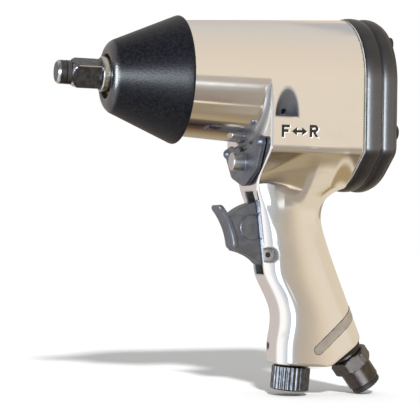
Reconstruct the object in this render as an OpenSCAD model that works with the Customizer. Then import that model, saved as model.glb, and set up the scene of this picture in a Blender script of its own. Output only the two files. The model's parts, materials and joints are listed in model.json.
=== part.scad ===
// Pistol-grip pneumatic impact wrench with a half-inch square drive.
// The drive axis is X and the nose points to -X. The origin is on the drive axis, at the
// shoulder behind the square where a socket seats. The handle hangs down to -Z.

/* [Square drive] */
// Side of the square drive
square_side = 12.7; // [11:0.1:13]
// Length of the square
square_len = 16; // [13:0.5:20]
// Length of the round nose ahead of the square
nose_len = 8; // [7:0.5:11]
// Diameter of the round nose
nose_d = 12.6; // [10.5:0.1:12.6]
// Turn of the square about the drive axis
square_turn = 26; // [0:1:89]
// Diameter of the anvil's journal
journal_d = 18.8; // [18.2:0.1:20]

/* [Nose boot] */
// Distance from the socket shoulder to the boot's front face
boot_setback = 3; // [2.5:0.1:5]
// Length of the boot
boot_len = 39.5; // [38:0.5:44]
// Diameter where the boot's cone meets the plane of its front face
boot_front_d = 36.2; // [35:0.2:40]
// How far the boot's rear rim stands out over the barrel
boot_rim_over = 4; // [3.6:0.1:6]
// Radius of the boot's front edge
boot_edge_r = 7; // [3:0.5:8]
// Diameter of the boot's mouth
boot_mouth_d = 23.8; // [23:0.2:26]
// Thickness of the rubber, measured square to the drive axis
boot_wall = 3.2; // [2.6:0.1:3.6]

/* [Barrel] */
// Diameter of the housing's barrel at the boot's rim
barrel_front_d = 62.4; // [61:0.2:66]
// Diameter of the housing's barrel at the rear joint
barrel_rear_d = 74.4; // [73:0.2:82]
// Length of the barrel behind the boot
barrel_len = 95.5; // [94:0.5:106]
// Length of round barrel showing ahead of the flat-sided box
box_setback = 42.7; // [40:0.5:46]
// Drop from the drive axis to the lower edge of the flat sides
flat_drop = 38.5; // [37:0.5:41]
// Drop from the drive axis to the lowest line of the belly
belly_drop = 58; // [57:0.5:61]
// Slope of the belly's sides
belly_slope = 40; // [36:1:44]

/* [Impact mechanism] */
// Diameter of the cavity the hammers turn in
cavity_d = 48; // [47:0.5:50]
// Outer diameter of a hammer
hammer_d = 40.4; // [39:0.2:41.4]
// Inner diameter of a hammer
hammer_bore_d = 26; // [25.4:0.1:26.4]
// Length of a hammer along the drive axis
hammer_w = 9.6; // [8:0.1:9.6]
// Diameter of a hammer pin
hammer_pin_d = 5; // [4:0.1:5.2]
// Thickness of the hammer cage's front plate
cage_front_t = 4; // [3:0.5:4.5]
// Thickness of the hammer cage's rear plate
cage_rear_t = 6; // [5.5:0.5:7]
// Diameter across the anvil's two jaws
jaw_d = 21.2; // [19:0.2:21.6]
// Diameter of the hammer case's rear skirt bore
skirt_d = 54; // [53:0.2:55]

/* [Air motor] */
// Depth of the motor's front shoulder behind the boot's rim
motor_setback = 19.5; // [19:0.5:22]
// Diameter of the motor bore
motor_bore_d = 54; // [52:0.2:55]
// Thickness of an end plate
plate_t = 7; // [6.5:0.5:8]
// Length of the motor cylinder
cylinder_len = 46; // [42:0.5:48]
// Diameter of the motor cylinder's own bore
cylinder_bore_d = 44.8; // [44.2:0.1:45.4]
// Drop of that bore's centre below the drive axis
bore_drop = 1.5; // [1:0.1:1.6]
// Diameter of the rotor
rotor_d = 41; // [38:0.2:41]
// Thickness of a vane
vane_t = 2; // [1.5:0.1:2.6]
// Number of vanes
vane_count = 6; // [4:1:7]
// Outer diameter of a rotor bearing
bearing_od = 22; // [20:0.5:24]
// Bore of a rotor bearing
bearing_id = 10; // [9:0.5:11]
// Width of a rotor bearing
bearing_w = 6; // [5:0.5:6]

/* [Rear cover] */
// Thickness of the rear cover
cover_t = 19.5; // [16:0.5:22]
// Thickness of the paper gasket
gasket_t = 0.5; // [0.4:0.1:1]
// How far the cover stands proud of the housing all round
cover_proud = 1.2; // [0.8:0.1:2]
// Diameter of a cover screw's thread
cover_screw_d = 5; // [4:0.5:5]
// Angle of the upper cover screws above the level of the drive axis
upper_screw_angle = 43; // [35:1:55]
// Distance of the lower cover screws in from the flat sides
lower_screw_inset = 5.6; // [5.2:0.1:7]
// Drop of the lower cover screws
lower_screw_drop = 27; // [25:0.5:29]

/* [Handle] */
// Width of the handle
handle_w = 31; // [30:0.5:34]
// Height where the handle starts to flare into the belly, below the drive axis
flare_drop = 66; // [65:0.5:68]
// Radius of that flare at the sides
flare_r = 32; // [30:0.5:36]
// Lean of the front edge, in degrees from upright
front_lean = 7; // [5:0.5:9]
// How far the front edge steps back below the trigger
front_step = 9.7; // [7:0.1:11]
// Where the back of the handle is narrowest, behind the box's front face
waist_back = 42.4; // [41:0.1:45]
// Drop of that narrowest place
waist_drop = 73; // [71:0.5:75]
// Lean of the back edge below the waist, in degrees from upright
back_lean = 22.9; // [21:0.1:24]
// Radius of the handle's front corners
front_corner_r = 8.5; // [6:0.5:10]
// Radius of the handle's back corners
back_corner_r = 13; // [9:0.5:14]

/* [Trigger] */
// Place of the trigger's pin behind the box's front face
trigger_pin_back = 9.2; // [8.6:0.1:10]
// Drop of the trigger's pin
trigger_pin_drop = 94.9; // [94:0.1:96]
// Diameter of the trigger's pin
trigger_pin_d = 3; // [2.5:0.1:3.6]
// Width of the trigger's slot in the handle
slot_w = 12; // [11.8:0.1:14]
// Drop to the top of that slot
slot_top_drop = 60.6; // [60:0.1:62]
// Drop to the bottom of that slot
slot_low_drop = 105.5; // [104:0.5:107]
// Width of the finger paddle
paddle_w = 13.5; // [13:0.5:18]
// Thickness of the finger paddle
paddle_t = 3.2; // [2.5:0.1:4]
// Hollow radius of the finger paddle
paddle_r = 38; // [36:0.5:40]
// Radius of the trigger's web about its pin
web_r = 29.6; // [28:0.1:30]

/* [Throttle valve] */
// Drop of the throttle stem
stem_drop = 76; // [75:0.5:77]
// Diameter of the throttle stem
stem_d = 5; // [4:0.1:6]
// Diameter of the throttle bore
throttle_bore_d = 11.6; // [11:0.1:11.7]
// Length of the throttle seat
seat_len = 7.7; // [7:0.1:8.5]
// Diameter of the throttle valve's head
valve_head_d = 9.2; // [8.6:0.1:9.6]

/* [Reverse valve] */
// Drop of the reverse valve's axis
reverse_drop = 44.2; // [44:0.1:45]
// Diameter of the reverse valve
reverse_valve_d = 11.6; // [10:0.1:12]
// Outer diameter of the reverse valve's bushing
reverse_bush_d = 15; // [14.6:0.1:16]
// Diameter of the lever's knob
lever_knob_d = 10.1; // [9.8:0.1:10.6]
// Length of the lever's knob
lever_knob_len = 7; // [5:0.5:9]
// Thickness of the lever's plate
lever_t = 2.7; // [2.4:0.1:4]
// Distance of each ear's centre from the lever's axis
lever_ear = 26.5; // [24:0.5:27]
// Turn of the lever from its middle position
lever_turn = 5; // [4:1:7]

/* [Air regulator] */
// Place of the regulator behind the box's front face, where it leaves the handle
regulator_back = 27.8; // [27:0.1:29]
// Drop of the handle's bottom face at the regulator
regulator_drop = 155.6; // [154:0.1:158]
// Tilt of the handle's bottom face
bottom_tilt = 2.4; // [1.5:0.1:4]
// Tilt of the regulator's axis
regulator_tilt = 4.4; // [3:0.1:6]
// Diameter of the regulator's knurled knob
knob_d = 21.4; // [19:0.2:22.4]
// Length of the regulator's knob
knob_len = 13.7; // [10:0.1:16]
// Diameter of the regulator's stem
regulator_stem_d = 12; // [11:0.1:12.6]
// Number of grooves in the knob
knob_grooves = 26; // [18:1:34]

/* [Air inlet] */
// Place of the inlet's seat behind the box's front face
inlet_back = 58.4; // [57.6:0.1:59.2]
// Drop of the inlet's seat
inlet_drop = 146.5; // [145:0.1:147]
// Lean of the inlet's axis, in degrees from straight down
inlet_lean = 36.5; // [35:0.5:38]
// Diameter of the bushing's thread in the handle
inlet_thread_d = 16.6; // [15:0.2:17.4]
// Size of the bushing's hexagon across its flats
inlet_hex = 20; // [19.4:0.2:22]
// Diameter of the bore for the hose fitting's thread
hose_thread_d = 11.46; // [10.5:0.02:12.2]
// Length of that bore
hose_thread_len = 14; // [10:0.5:15]

/* [Fits] */
// Radial clearance of a running fit
run_gap = 0.05; // [0.03:0.01:0.08]
// Radial clearance between pieces that are seated together
seat_gap = 0.03; // [0.02:0.01:0.05]
// Clearance between pieces that pass each other
pass_gap = 0.3; // [0.3:0.05:0.5]

/* [Hidden] */
$fn = 64;
cut = 1;
small_fn = 32;
fine_fn = 96;

aluminium = "#d9cdb8";
rubber = "#24262b";
steel = "#6d6a68";
dark_steel = "#47484b";
grey_casting = "#7a7b80";
bronze = "#b08d57";
bright_steel = "#b9bcc0";
resin = "#5a4632";
paper = "#8c8f86";

// Places along the drive axis
x_boot = boot_setback;
x_rim = x_boot + boot_len;
x_box = x_rim + box_setback;
x_rear = x_rim + barrel_len;
x_motor = x_rim + motor_setback;
x_cylinder = x_motor + plate_t;
x_cylinder_end = x_cylinder + cylinder_len;
x_motor_end = x_cylinder_end + plate_t;
x_cover = x_rear + gasket_t;
x_back = x_cover + cover_t;
axial_gap = 0.4;
x_cage_end = x_motor - axial_gap;
x_cage_rear = x_cage_end - cage_rear_t;
x_hammer_2 = x_cage_rear - axial_gap - hammer_w;
x_hammer_1 = x_hammer_2 - axial_gap - hammer_w;
x_cage = x_hammer_1 - axial_gap - cage_front_t;
shoulder_len = 4;
shoulder_gap = 1;
x_shoulder = x_cage - shoulder_len;
x_bushing_end = x_shoulder - axial_gap;
gasket_ring_t = 0.3;
x_case_end = x_rim - gasket_ring_t;
spigot_len = 7.5;
x_spigot = x_rim - spigot_len;
case_front_t = 2.5;
x_case = x_boot + case_front_t;
x_cavity = x_cage - axial_gap;

// Radii and heights
journal_r = journal_d / 2;
cavity_r = cavity_d / 2;
pin_orbit = (hammer_d + hammer_bore_d) / 4;
shoulder_over_jaws = 1.9;
shoulder_d = jaw_d + shoulder_over_jaws;
stub_d = 10;
stub_len = 3.3;
drive_hex_d = 9.6;
bushing_wall = 2.05;
bushing_d = journal_d + 2 * run_gap + 2 * bushing_wall;
z_reverse = -reverse_drop;
z_stem = -stem_drop;
pin_x = x_box + trigger_pin_back;
pin_z = -trigger_pin_drop;
regulator_x = x_box + regulator_back;
inlet_x = x_box + inlet_back;
slot_depth = 19.8;
x_slot_end = x_box + slot_depth;
web_gap = 0.5;
web_back = 3.8;
stem_tip_x = pin_x + web_back + web_gap;
x_seat = x_slot_end + pass_gap;
x_seat_end = x_seat + seat_len;
head_len = 3.7;
throttle_spring_len = 7.4;
x_head = x_seat_end + pass_gap;
x_head_end = x_head + head_len;
x_throttle_end = x_head_end + throttle_spring_len + pass_gap;
reverse_bush_len = 38.5;
reverse_inset = 1.8;
x_reverse = x_box + reverse_inset;
x_reverse_end = x_reverse + reverse_bush_len;
x_lever_back = x_box - pass_gap;
x_lever = x_lever_back - lever_t;
x_knob = x_lever - lever_knob_len;
neck_d = 8;
neck_into_knob = 3.2;
regulator_stem_len = 44;
port_r = 2.2;
port_setback = 23;
port_x = x_cylinder + port_setback;
port_y = 5.5;

// Half-width of the barrel, and of the box below it, at a place on the drive axis
function barrel_r(x) = (barrel_front_d + (barrel_rear_d - barrel_front_d) * (x - x_rim) / barrel_len) / 2;
// Radius of the boot's outer cone at a place on the drive axis
boot_rim_d = barrel_front_d + 2 * boot_rim_over;
function boot_r(x) = (boot_front_d + (boot_rim_d - boot_front_d) * (x - x_boot) / boot_len) / 2;
function smooth(t) = let (c = min(max(t, 0), 1)) c * c * (3 - 2 * c);
// Points of an arc in a plane, both ends included
function arc(c, r, a0, a1, n) =
    [for (i = [0 : n]) let (a = a0 + (a1 - a0) * i / n) [c[0] + r * cos(a), c[1] + r * sin(a)]];
function join(lists) = [for (list = lists) each list];

// Closed skin over rings that all have the same number of points
module skin(rings) {
    n = len(rings[0]);
    last = (len(rings) - 1) * n;
    walls = [for (j = [0 : len(rings) - 2], i = [0 : n - 1])
        let (a = j * n + i, b = j * n + (i + 1) % n)
        each [[a, a + n, b + n], [a, b + n, b]]];
    caps = [[for (i = [0 : n - 1]) i], [for (i = [n - 1 : -1 : 0]) last + i]];
    polyhedron(points = join(rings), faces = concat(walls, caps), convexity = 6);
}
module x_rod(x0, x1, r) {
    translate([x0, 0, 0]) rotate([0, 90, 0]) cylinder(h = x1 - x0, r = r);
}
module x_cone(x0, x1, r0, r1) {
    translate([x0, 0, 0]) rotate([0, 90, 0]) cylinder(h = x1 - x0, r1 = r0, r2 = r1);
}
module x_ring(x0, x1, r_out, r_in) {
    difference() {
        x_rod(x0, x1, r_out);
        x_rod(x0 - cut, x1 + cut, r_in);
    }
}
// Profile of points [x, radius] turned about the drive axis
module x_turned(points) {
    rotate([0, 90, 0]) rotate_extrude() polygon([for (p = points) [p[1], p[0]]]);
}
// Outline in the plane of Y and Z, drawn out along X
module x_slab(x0, x1) {
    translate([x0, 0, 0]) rotate([90, 0, 90]) linear_extrude(x1 - x0) children();
}
// Outline in the plane of X and Z, drawn out to both sides of the middle plane
module y_slab(width) {
    rotate([90, 0, 0]) linear_extrude(width, center = true) children();
}
module y_rod(x, z, r, width) {
    translate([x, 0, z]) rotate([90, 0, 0]) cylinder(h = width, r = r, center = true);
}
// Round rod in the middle plane between two points [x, z]
module plane_rod(p, q, r) {
    dx = q[0] - p[0];
    dz = q[1] - p[1];
    translate([p[0], 0, p[1]]) rotate([0, atan2(dx, dz), 0]) cylinder(h = norm([dx, dz]), r = r);
}
// Coil spring along X, as one swept wire
module x_spring(x0, x1, coil_r, wire_r, turns) {
    sides = 6;
    steps = 18;
    pitch_len = x1 - x0 - 2 * wire_r;
    count = steps * turns;
    skin([for (i = [0 : count])
        let (a = 360 * i / steps, x = x0 + wire_r + pitch_len * i / count)
        [for (k = [0 : sides - 1]) let (b = -360 * k / sides, r = coil_r + wire_r * cos(b))
            [x + wire_r * sin(b), r * cos(a), r * sin(a)]]]);
}
module at_reverse() {
    translate([0, 0, z_reverse]) children();
}
module at_stem() {
    translate([0, 0, z_stem]) children();
}
// Frame of the handle's bottom face, with +Z into the handle
module at_bottom() {
    translate([regulator_x, 0, -regulator_drop]) rotate([0, bottom_tilt, 0]) children();
}
// Regulator frame: +Z runs up the stem, and zero is where it leaves the handle
module at_regulator() {
    translate([regulator_x, 0, -regulator_drop]) rotate([0, regulator_tilt, 0]) children();
}
// Inlet frame: +Z runs out of the handle, and zero is the slanted face it seats on
module at_inlet() {
    translate([inlet_x, 0, -inlet_drop]) rotate([0, 180 - inlet_lean, 0]) children();
}
// The upper cover screws stand midway between the motor bore and the barrel's outside
screw_orbit = (motor_bore_d + barrel_rear_d) / 4;
module at_cover_screws() {
    for (s = [-1, 1]) {
        translate([0, s * screw_orbit * cos(upper_screw_angle), screw_orbit * sin(upper_screw_angle)])
            children();
        translate([0, s * (barrel_rear_d / 2 - lower_screw_inset), -lower_screw_drop]) children();
    }
}

// Lower outline of the box and of the rear cover: flat sides, a small corner, the sloping
// belly and its round keel, from the left side to the right side
corner_r = 3;
corner_steps = 4;
keel_steps = 10;
function lower_outline(w, low, belly) = let (
        apex = low - w * tan(belly_slope),
        keel_r = (belly - apex) / (1 / cos(belly_slope) - 1),
        turn = 90 - belly_slope,
        t = corner_r * tan(turn / 2))
    join([
        arc([-w + corner_r, low + t], corner_r, 180, 180 + turn, corner_steps),
        arc([0, belly + keel_r], keel_r, 180 + turn, 360 - turn, keel_steps),
        arc([w - corner_r, low + t], corner_r, 360 - turn, 360, corner_steps)]);

// Box under the barrel. Its sides leave the barrel a little below the drive axis.
box_inset = 0.15;
box_top = 15;
box_top_half = 20;
function box_ring(x) = let (w = barrel_r(x) - box_inset)
    [for (p = join([lower_outline(w, -flat_drop, -belly_drop),
        [[w, 0], [box_top_half, box_top], [-box_top_half, box_top], [-w, 0]]])) [x, p[0], p[1]]];

// Edges of the handle seen from the side, and its half-width, at a height
step_from = 103;
step_over = 27;
front_lead = 2;
front_foot = 7.6;
foot_flare = 1.7;
foot_from = 131;
foot_over = 15;
handle_inset = 0.05;
back_flare_r = 20;
back_flare_up = 0.95 * back_flare_r;
back_flare_out = 0.4 * back_flare_r;
waist_soft = 8;
function front_x(z) = let (line = x_box + front_lead + (-z - slot_top_drop) * tan(front_lean))
    line + (x_box + front_foot + front_step - line) * smooth((-z - step_from) / step_over)
        - foot_flare * smooth((-z - foot_from) / foot_over);
function back_x(z) = let (u = -z - waist_drop, v = min(-u, back_flare_up))
    x_box + waist_back + (u > 0 ? tan(back_lean) * (sqrt(u * u + waist_soft * waist_soft) - waist_soft)
        : min(back_flare_r - sqrt(back_flare_r * back_flare_r - v * v), back_flare_out));
function handle_half(z) = let (u = max(z + flare_drop, 0))
    handle_w / 2 + flare_r - sqrt(flare_r * flare_r - u * u);
handle_corner_steps = 5;
function handle_ring(z) = let (
        f = max(front_x(z), x_box + handle_inset),
        b = back_x(z),
        h = handle_half(z),
        rf = front_corner_r,
        rb = back_corner_r,
        n = handle_corner_steps)
    [for (p = join([
        arc([b - rb, h - rb], rb, 0, 90, n),
        arc([f + rf, h - rf], rf, 90, 180, n),
        arc([f + rf, -h + rf], rf, 180, 270, n),
        arc([b - rb, -h + rb], rb, 270, 360, n)])) [p[0], p[1], z]];
handle_top = -44;
handle_low = -166;
handle_rings = 24;
handle_cutter = 90;

// Trigger pocket, air passages, valve bores and screw holes
module housing_cuts() {
    slot_mid = x_slot_end - handle_cutter / 2;
    x_rod(x_spigot - cut, x_motor + cut, cavity_r);
    x_rod(x_motor, x_rear + 2 * cut, motor_bore_d / 2 + seat_gap);
    translate([x_rear, -handle_cutter, -handle_cutter]) cube(2 * handle_cutter);
    at_bottom() translate([-handle_cutter, -handle_cutter, -2 * handle_cutter]) cube(2 * handle_cutter);
    at_regulator() translate([0, 0, -cut])
        cylinder(h = regulator_stem_len + 2 * cut, d = regulator_stem_d + 2 * run_gap);
    at_inlet() {
        translate([-handle_cutter, -handle_cutter, 0]) cube(2 * handle_cutter);
        translate([0, 0, -inlet_thread_len])
            cylinder(h = inlet_thread_len + cut, d = inlet_thread_d + 2 * seat_gap);
        translate([0, 0, -inlet_way_len]) cylinder(h = inlet_way_len, r = air_way_r);
    }
    translate([slot_mid, 0, -(slot_top_drop + slot_low_drop) / 2])
        cube([handle_cutter, slot_w, slot_low_drop - slot_top_drop], center = true);
    y_rod(pin_x, pin_z, trigger_pin_d / 2 + seat_gap, handle_w + 2 * cut);
    for (s = [-1, 1])
        translate([pin_x, s * (pin_half + handle_w / 2), pin_z]) rotate([90, 0, 0])
            cylinder(h = handle_w, r = pin_pocket_r, center = true);
    at_stem() x_rod(x_slot_end - cut, x_throttle_end, throttle_bore_d / 2 + seat_gap);
    plane_rod([regulator_top_x, regulator_top_z], [x_head + head_len / 2, z_stem - cut], supply_way_r);
    plane_rod([seat_port_x, z_stem], [seat_port_x, z_reverse - cut], seat_port_r);
    at_reverse() x_rod(x_box - cut, x_reverse_end, reverse_bush_d / 2 + seat_gap);
    cylinder_ports();
    translate([0, detent_y, detent_z]) x_rod(x_box - cut, x_detent_end, detent_hole_r);
    translate([0, regulator_pin_y, regulator_pin_z])
        x_rod(x_box, regulator_x + regulator_pin_past + seat_gap, regulator_pin_r + seat_gap);
    at_cover_screws() x_rod(x_rear - cover_screw_into, x_rear + cut, cover_screw_d / 2 + seat_gap);
    at_case_screws() cylinder(h = boot_rim_d, r = case_screw_r + seat_gap, $fn = small_fn);
    side_pocket();
    exhaust_port(-barrel_rear_d / 2);
}
pin_half = 9;
pin_pocket_r = 3.85;
inlet_thread_len = 11;
inlet_way_len = 44;
air_way_r = 5;
supply_way_r = 4;
regulator_top_x = regulator_x + regulator_stem_len * sin(regulator_tilt);
regulator_top_z = -regulator_drop + regulator_stem_len * cos(regulator_tilt);
seat_port_setback = 2;
seat_port_x = x_seat_end - seat_port_setback;
seat_port_r = 1.8;
detent_orbit = 13;
detent_at = 14;
detent_r = 1.5;
detent_y = detent_orbit * cos(detent_at);
detent_z = z_reverse + detent_orbit * sin(detent_at);
detent_gap = 0.1;
detent_hole_r = detent_r + detent_gap;
detent_depth = 9.5;
x_detent = x_box + axial_gap;
x_detent_end = x_box + detent_depth;
regulator_pin_up = 10;
regulator_pin_z = -regulator_drop + regulator_pin_up;
regulator_pin_r = 1.5;
regulator_pin_bite = 0.5;
regulator_pin_y = regulator_stem_d / 2 - regulator_pin_bite;
regulator_pin_past = 9;
cover_screw_into = 20;
case_screw_r = 2;
case_screw_setback = 4.3;
case_screw_seat = 1.4;
case_screw_x = x_rim - case_screw_setback;
case_screw_low = cavity_r + case_screw_seat;

module at_case_screws() {
    for (a = [90, 210, 330])
        translate([case_screw_x, 0, 0]) rotate([a - 90, 0, 0]) translate([0, 0, case_screw_low]) children();
}

// Thumb-shaped exhaust pocket on the left side, with a flat floor
pocket_r = 6.1;
pocket_tilt = 20;
pocket_from_box = 8.6;
pocket_floor = -20.6;
pocket_out = 0.4;
pocket_cutter = 8 * pocket_r;
exhaust_r = 1.2;
exhaust_up = 2.6;
module side_pocket() {
    x = x_box + pocket_from_box;
    translate([x, -barrel_r(x) - pocket_out, pocket_floor]) intersection() {
        rotate([pocket_tilt, 0, 0]) translate([0, 0, -pocket_r]) cylinder(h = pocket_cutter, r = pocket_r);
        translate([-pocket_r, -pocket_cutter / 2, 0]) cube([2 * pocket_r, pocket_cutter, pocket_cutter]);
    }
}
// Two air ways from the reverse valve up into the motor cylinder
module cylinder_ports() {
    for (s = [-1, 1])
        translate([port_x, s * port_y, z_reverse])
            cylinder(h = reverse_drop - bore_drop, r = port_r, $fn = small_fn);
}
module exhaust_port(from_y) {
    translate([x_box + pocket_from_box, from_y, pocket_floor + exhaust_up]) rotate([-90, 0, 0])
        cylinder(h = barrel_rear_d / 2 - exhaust_into, r = exhaust_r, $fn = small_fn);
}
exhaust_into = 14;

module motor_housing() {
    color(aluminium) difference() {
        union() {
            x_cone(x_rim, x_rear + cut, barrel_r(x_rim), barrel_r(x_rear + cut));
            x_rod(x_spigot, x_rim + cut, skirt_d / 2);
            skin([for (x = [x_box, x_rear + cut]) box_ring(x)]);
            skin([for (i = [0 : handle_rings])
                handle_ring(handle_low + (handle_top - handle_low) * i / handle_rings)]);
        }
        housing_cuts();
    }
}

// Boot: a cone with a round front edge, open at both ends
boot_half_angle = atan((boot_rim_d - boot_front_d) / 2 / boot_len);
edge_turn = 90 - boot_half_angle;
edge_start = boot_front_d / 2 - boot_edge_r * tan(edge_turn / 2);
edge_steps = 8;
rim_round = 0.6;
case_chamfer = 4.5;
// Line that the boot's inside and the case's outside share, less a gap
function case_line(gap) = [
    [x_case, boot_r(x_case + case_chamfer) - boot_wall - case_chamfer - gap],
    [x_case + case_chamfer, boot_r(x_case + case_chamfer) - boot_wall - gap]];
module nose_boot() {
    inner = case_line(0);
    color(rubber) x_turned(concat(
        [[x_boot, boot_mouth_d / 2]],
        arc([x_boot + boot_edge_r, edge_start], boot_edge_r, 180, 180 - edge_turn, edge_steps),
        [[x_rim - rim_round, boot_r(x_rim - rim_round)], [x_rim, boot_r(x_rim) - rim_round],
            [x_rim, boot_r(x_rim) - boot_wall], inner[1], inner[0], [x_case, boot_mouth_d / 2]]));
}
module hammer_case() {
    outer = case_line(seat_gap);
    color(dark_steel) difference() {
        x_turned([
            [x_case + seat_gap, bushing_d / 2 + seat_gap],
            [x_case + seat_gap, outer[0][1]],
            outer[1],
            [x_case_end, boot_r(x_case_end) - boot_wall - seat_gap],
            [x_case_end, skirt_d / 2 + seat_gap],
            [x_spigot - seat_gap, skirt_d / 2 + seat_gap],
            [x_spigot - seat_gap, cavity_r],
            [x_cavity, cavity_r],
            [x_cavity, shoulder_d / 2 + shoulder_gap],
            [x_bushing_end, shoulder_d / 2 + shoulder_gap],
            [x_bushing_end, bushing_d / 2 + seat_gap]]);
        at_case_screws() cylinder(h = boot_rim_d, r = case_screw_r + seat_gap, $fn = small_fn);
    }
}
// Grub screws that lock the case to the housing, under the boot
module hammer_case_screws() {
    len_out = boot_r(case_screw_x) - boot_wall - case_screw_low - case_screw_r;
    color(dark_steel) at_case_screws() difference() {
        cylinder(h = len_out, r = case_screw_r, $fn = small_fn);
        translate([0, 0, len_out - case_screw_r])
            cylinder(h = 2 * case_screw_r, r = case_screw_r / 2, $fn = 6);
    }
}
module hammer_case_gasket() {
    color(paper) x_ring(x_case_end, x_rim, barrel_front_d / 2 - seat_gap, skirt_d / 2 + seat_gap);
}
module anvil_bushing() {
    color(bronze) x_ring(x_case + pass_gap, x_bushing_end, bushing_d / 2, journal_r + run_gap);
}

// Anvil: round nose, square, journal, thrust shoulder, two jaws and a pilot stub
ring_groove_w = 2.6;
ring_groove_r = 4.4;
ring_gap = 0.3;
square_corner = 1.02;
nose_chamfer = 1.2;
jaw_half_angle = 22;
jaw_core_r = 7;
jaw_steps = 6;
square_lead = 1.2;
module anvil() {
    groove_x = -square_len - ring_gap - ring_groove_w;
    color(steel) {
        difference() {
            x_turned([
                [-square_len - nose_len, 0],
                [-square_len - nose_len, nose_d / 2 - nose_chamfer],
                [-square_len - nose_len + nose_chamfer, nose_d / 2],
                [-square_len + cut, nose_d / 2],
                [-square_len + cut, 0]]);
            x_ring(groove_x, groove_x + ring_groove_w, nose_d, ring_groove_r);
        }
        intersection() {
            translate([-square_len, 0, 0]) rotate([square_turn, 0, 0])
                translate([0, -square_side / 2, -square_side / 2])
                    cube([square_len + cut, square_side, square_side]);
            x_turned([
                [-square_len, 0],
                [-square_len, square_side * square_corner / sqrt(2) - square_lead],
                [-square_len + square_lead, square_side * square_corner / sqrt(2) - square_lead / 2],
                [cut, square_side * square_corner / sqrt(2) - square_lead / 2],
                [cut, 0]]);
        }
        x_rod(0, x_shoulder + cut, journal_r);
        x_rod(x_shoulder, x_hammer_1 - axial_gap, shoulder_d / 2);
        x_rod(x_hammer_1 - axial_gap - cut, x_cage_rear - axial_gap, jaw_core_r);
        x_slab(x_hammer_1 - axial_gap - cut, x_cage_rear - axial_gap)
            for (s = [-1, 1]) polygon(concat([[0, 0]],
                arc([0, 0], jaw_d / 2, s * 90 - jaw_half_angle, s * 90 + jaw_half_angle, jaw_steps)));
        x_rod(x_cage_rear - axial_gap - cut, x_cage_rear + stub_len - axial_gap, stub_d / 2);
    }
}
// Split spring ring that holds the socket, over a rubber ring
ring_split = 26;
ring_split_at = 250;
ring_end_gap = 0.2;
ring_lift = 0.9;
ring_proud = 0.05;
split_steps = 4;
module friction_ring() {
    x0 = -square_len - ring_gap - ring_groove_w + ring_end_gap;
    inner = ring_groove_r + ring_lift;
    color(bright_steel) rotate([ring_split_at, 0, 0]) difference() {
        x_ring(x0, x0 + ring_groove_w - 2 * ring_end_gap, nose_d / 2 + ring_proud, inner);
        x_slab(x0 - cut, x0 + ring_groove_w + cut)
            polygon(concat([[0, 0]], arc([0, 0], nose_d, -ring_split / 2, ring_split / 2, split_steps)));
    }
}
module friction_o_ring() {
    x0 = -square_len - ring_gap - ring_groove_w / 2;
    tube = 0.42;
    floor_gap = 0.01;
    color(rubber) rotate([0, 90, 0]) translate([0, 0, x0]) rotate_extrude()
        translate([ring_groove_r + tube + floor_gap, 0]) circle(r = tube, $fn = small_fn);
}

module at_hammer_pins() {
    for (s = [-1, 1]) translate([0, 0, s * pin_orbit]) children();
}
module cage_front_plate() {
    color(steel) difference() {
        x_ring(x_cage, x_cage + cage_front_t, hammer_d / 2, shoulder_d / 2 + run_gap);
        at_hammer_pins() x_rod(x_cage - cut, x_cage + cage_front_t + cut, hammer_pin_d / 2 + seat_gap);
    }
}
module cage_rear_plate() {
    color(steel) difference() {
        x_rod(x_cage_rear, x_cage_end, hammer_d / 2);
        x_rod(x_cage_rear - cut, x_cage_rear + stub_len, stub_d / 2 + run_gap);
        translate([x_cage_rear, 0, 0]) rotate([0, 90, 0])
            cylinder(h = cage_rear_t + cut, d = drive_hex_d + 2 * seat_gap, $fn = 6);
        at_hammer_pins() x_rod(x_cage_rear - cut, x_cage_end + cut, hammer_pin_d / 2 + seat_gap);
    }
}
module hammer_pins() {
    color(bright_steel) at_hammer_pins() x_rod(x_cage + seat_gap, x_cage_end - seat_gap, hammer_pin_d / 2);
}
// One hammer: a C-shaped dog on its own pin, with a notch round the other pin
notch_r = 5.3;
tooth_w = 6;
tooth_depth = 1.4;
tooth_root = 0.3;
module hammer(x0, s) {
    color(steel) x_slab(x0, x0 + hammer_w) difference() {
        union() {
            difference() {
                circle(d = hammer_d);
                circle(d = hammer_bore_d);
            }
            translate([s * (hammer_bore_d / 2 - tooth_depth / 2 + tooth_root), 0])
                square([tooth_depth + 2 * tooth_root, tooth_w], center = true);
        }
        translate([0, s * pin_orbit]) circle(d = hammer_pin_d + 2 * run_gap);
        translate([0, -s * pin_orbit]) circle(r = notch_r);
        translate([-notch_r, -s * (pin_orbit + hammer_d / 2) - hammer_d / 2]) square([2 * notch_r, hammer_d]);
    }
}
module front_hammer() {
    hammer(x_hammer_1, 1);
}
module rear_hammer() {
    hammer(x_hammer_2, -1);
}

// Air motor
shaft_r = bearing_id / 2 - run_gap;
shaft_hole_gap = 1;
shaft_hole_r = bearing_id / 2 + shaft_hole_gap;
dowel_r = 1.5;
dowel_inset = 2.5;
dowel_orbit = motor_bore_d / 2 - dowel_inset;
module end_plate(x0, bearing_x) {
    difference() {
        x_rod(x0, x0 + plate_t, motor_bore_d / 2);
        x_rod(x0 - cut, x0 + plate_t + cut, shaft_hole_r);
        x_rod(bearing_x, bearing_x + bearing_w + cut, bearing_od / 2 + seat_gap);
        translate([0, 0, dowel_orbit]) x_rod(x0 - cut, x0 + plate_t + cut, dowel_r + seat_gap);
    }
}
module bearing(x0) {
    shield_depth = 0.5;
    race_t = 1.8;
    color(bright_steel) difference() {
        x_ring(x0, x0 + bearing_w, bearing_od / 2, bearing_id / 2);
        for (x = [x0 - cut, x0 + bearing_w - shield_depth])
            x_ring(x, x + cut + shield_depth, bearing_od / 2 - race_t, bearing_id / 2 + race_t);
    }
}
module front_end_plate() {
    color(bronze) mirror_about(x_motor, plate_t) end_plate(x_motor, x_motor + plate_t - bearing_w);
}
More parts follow.
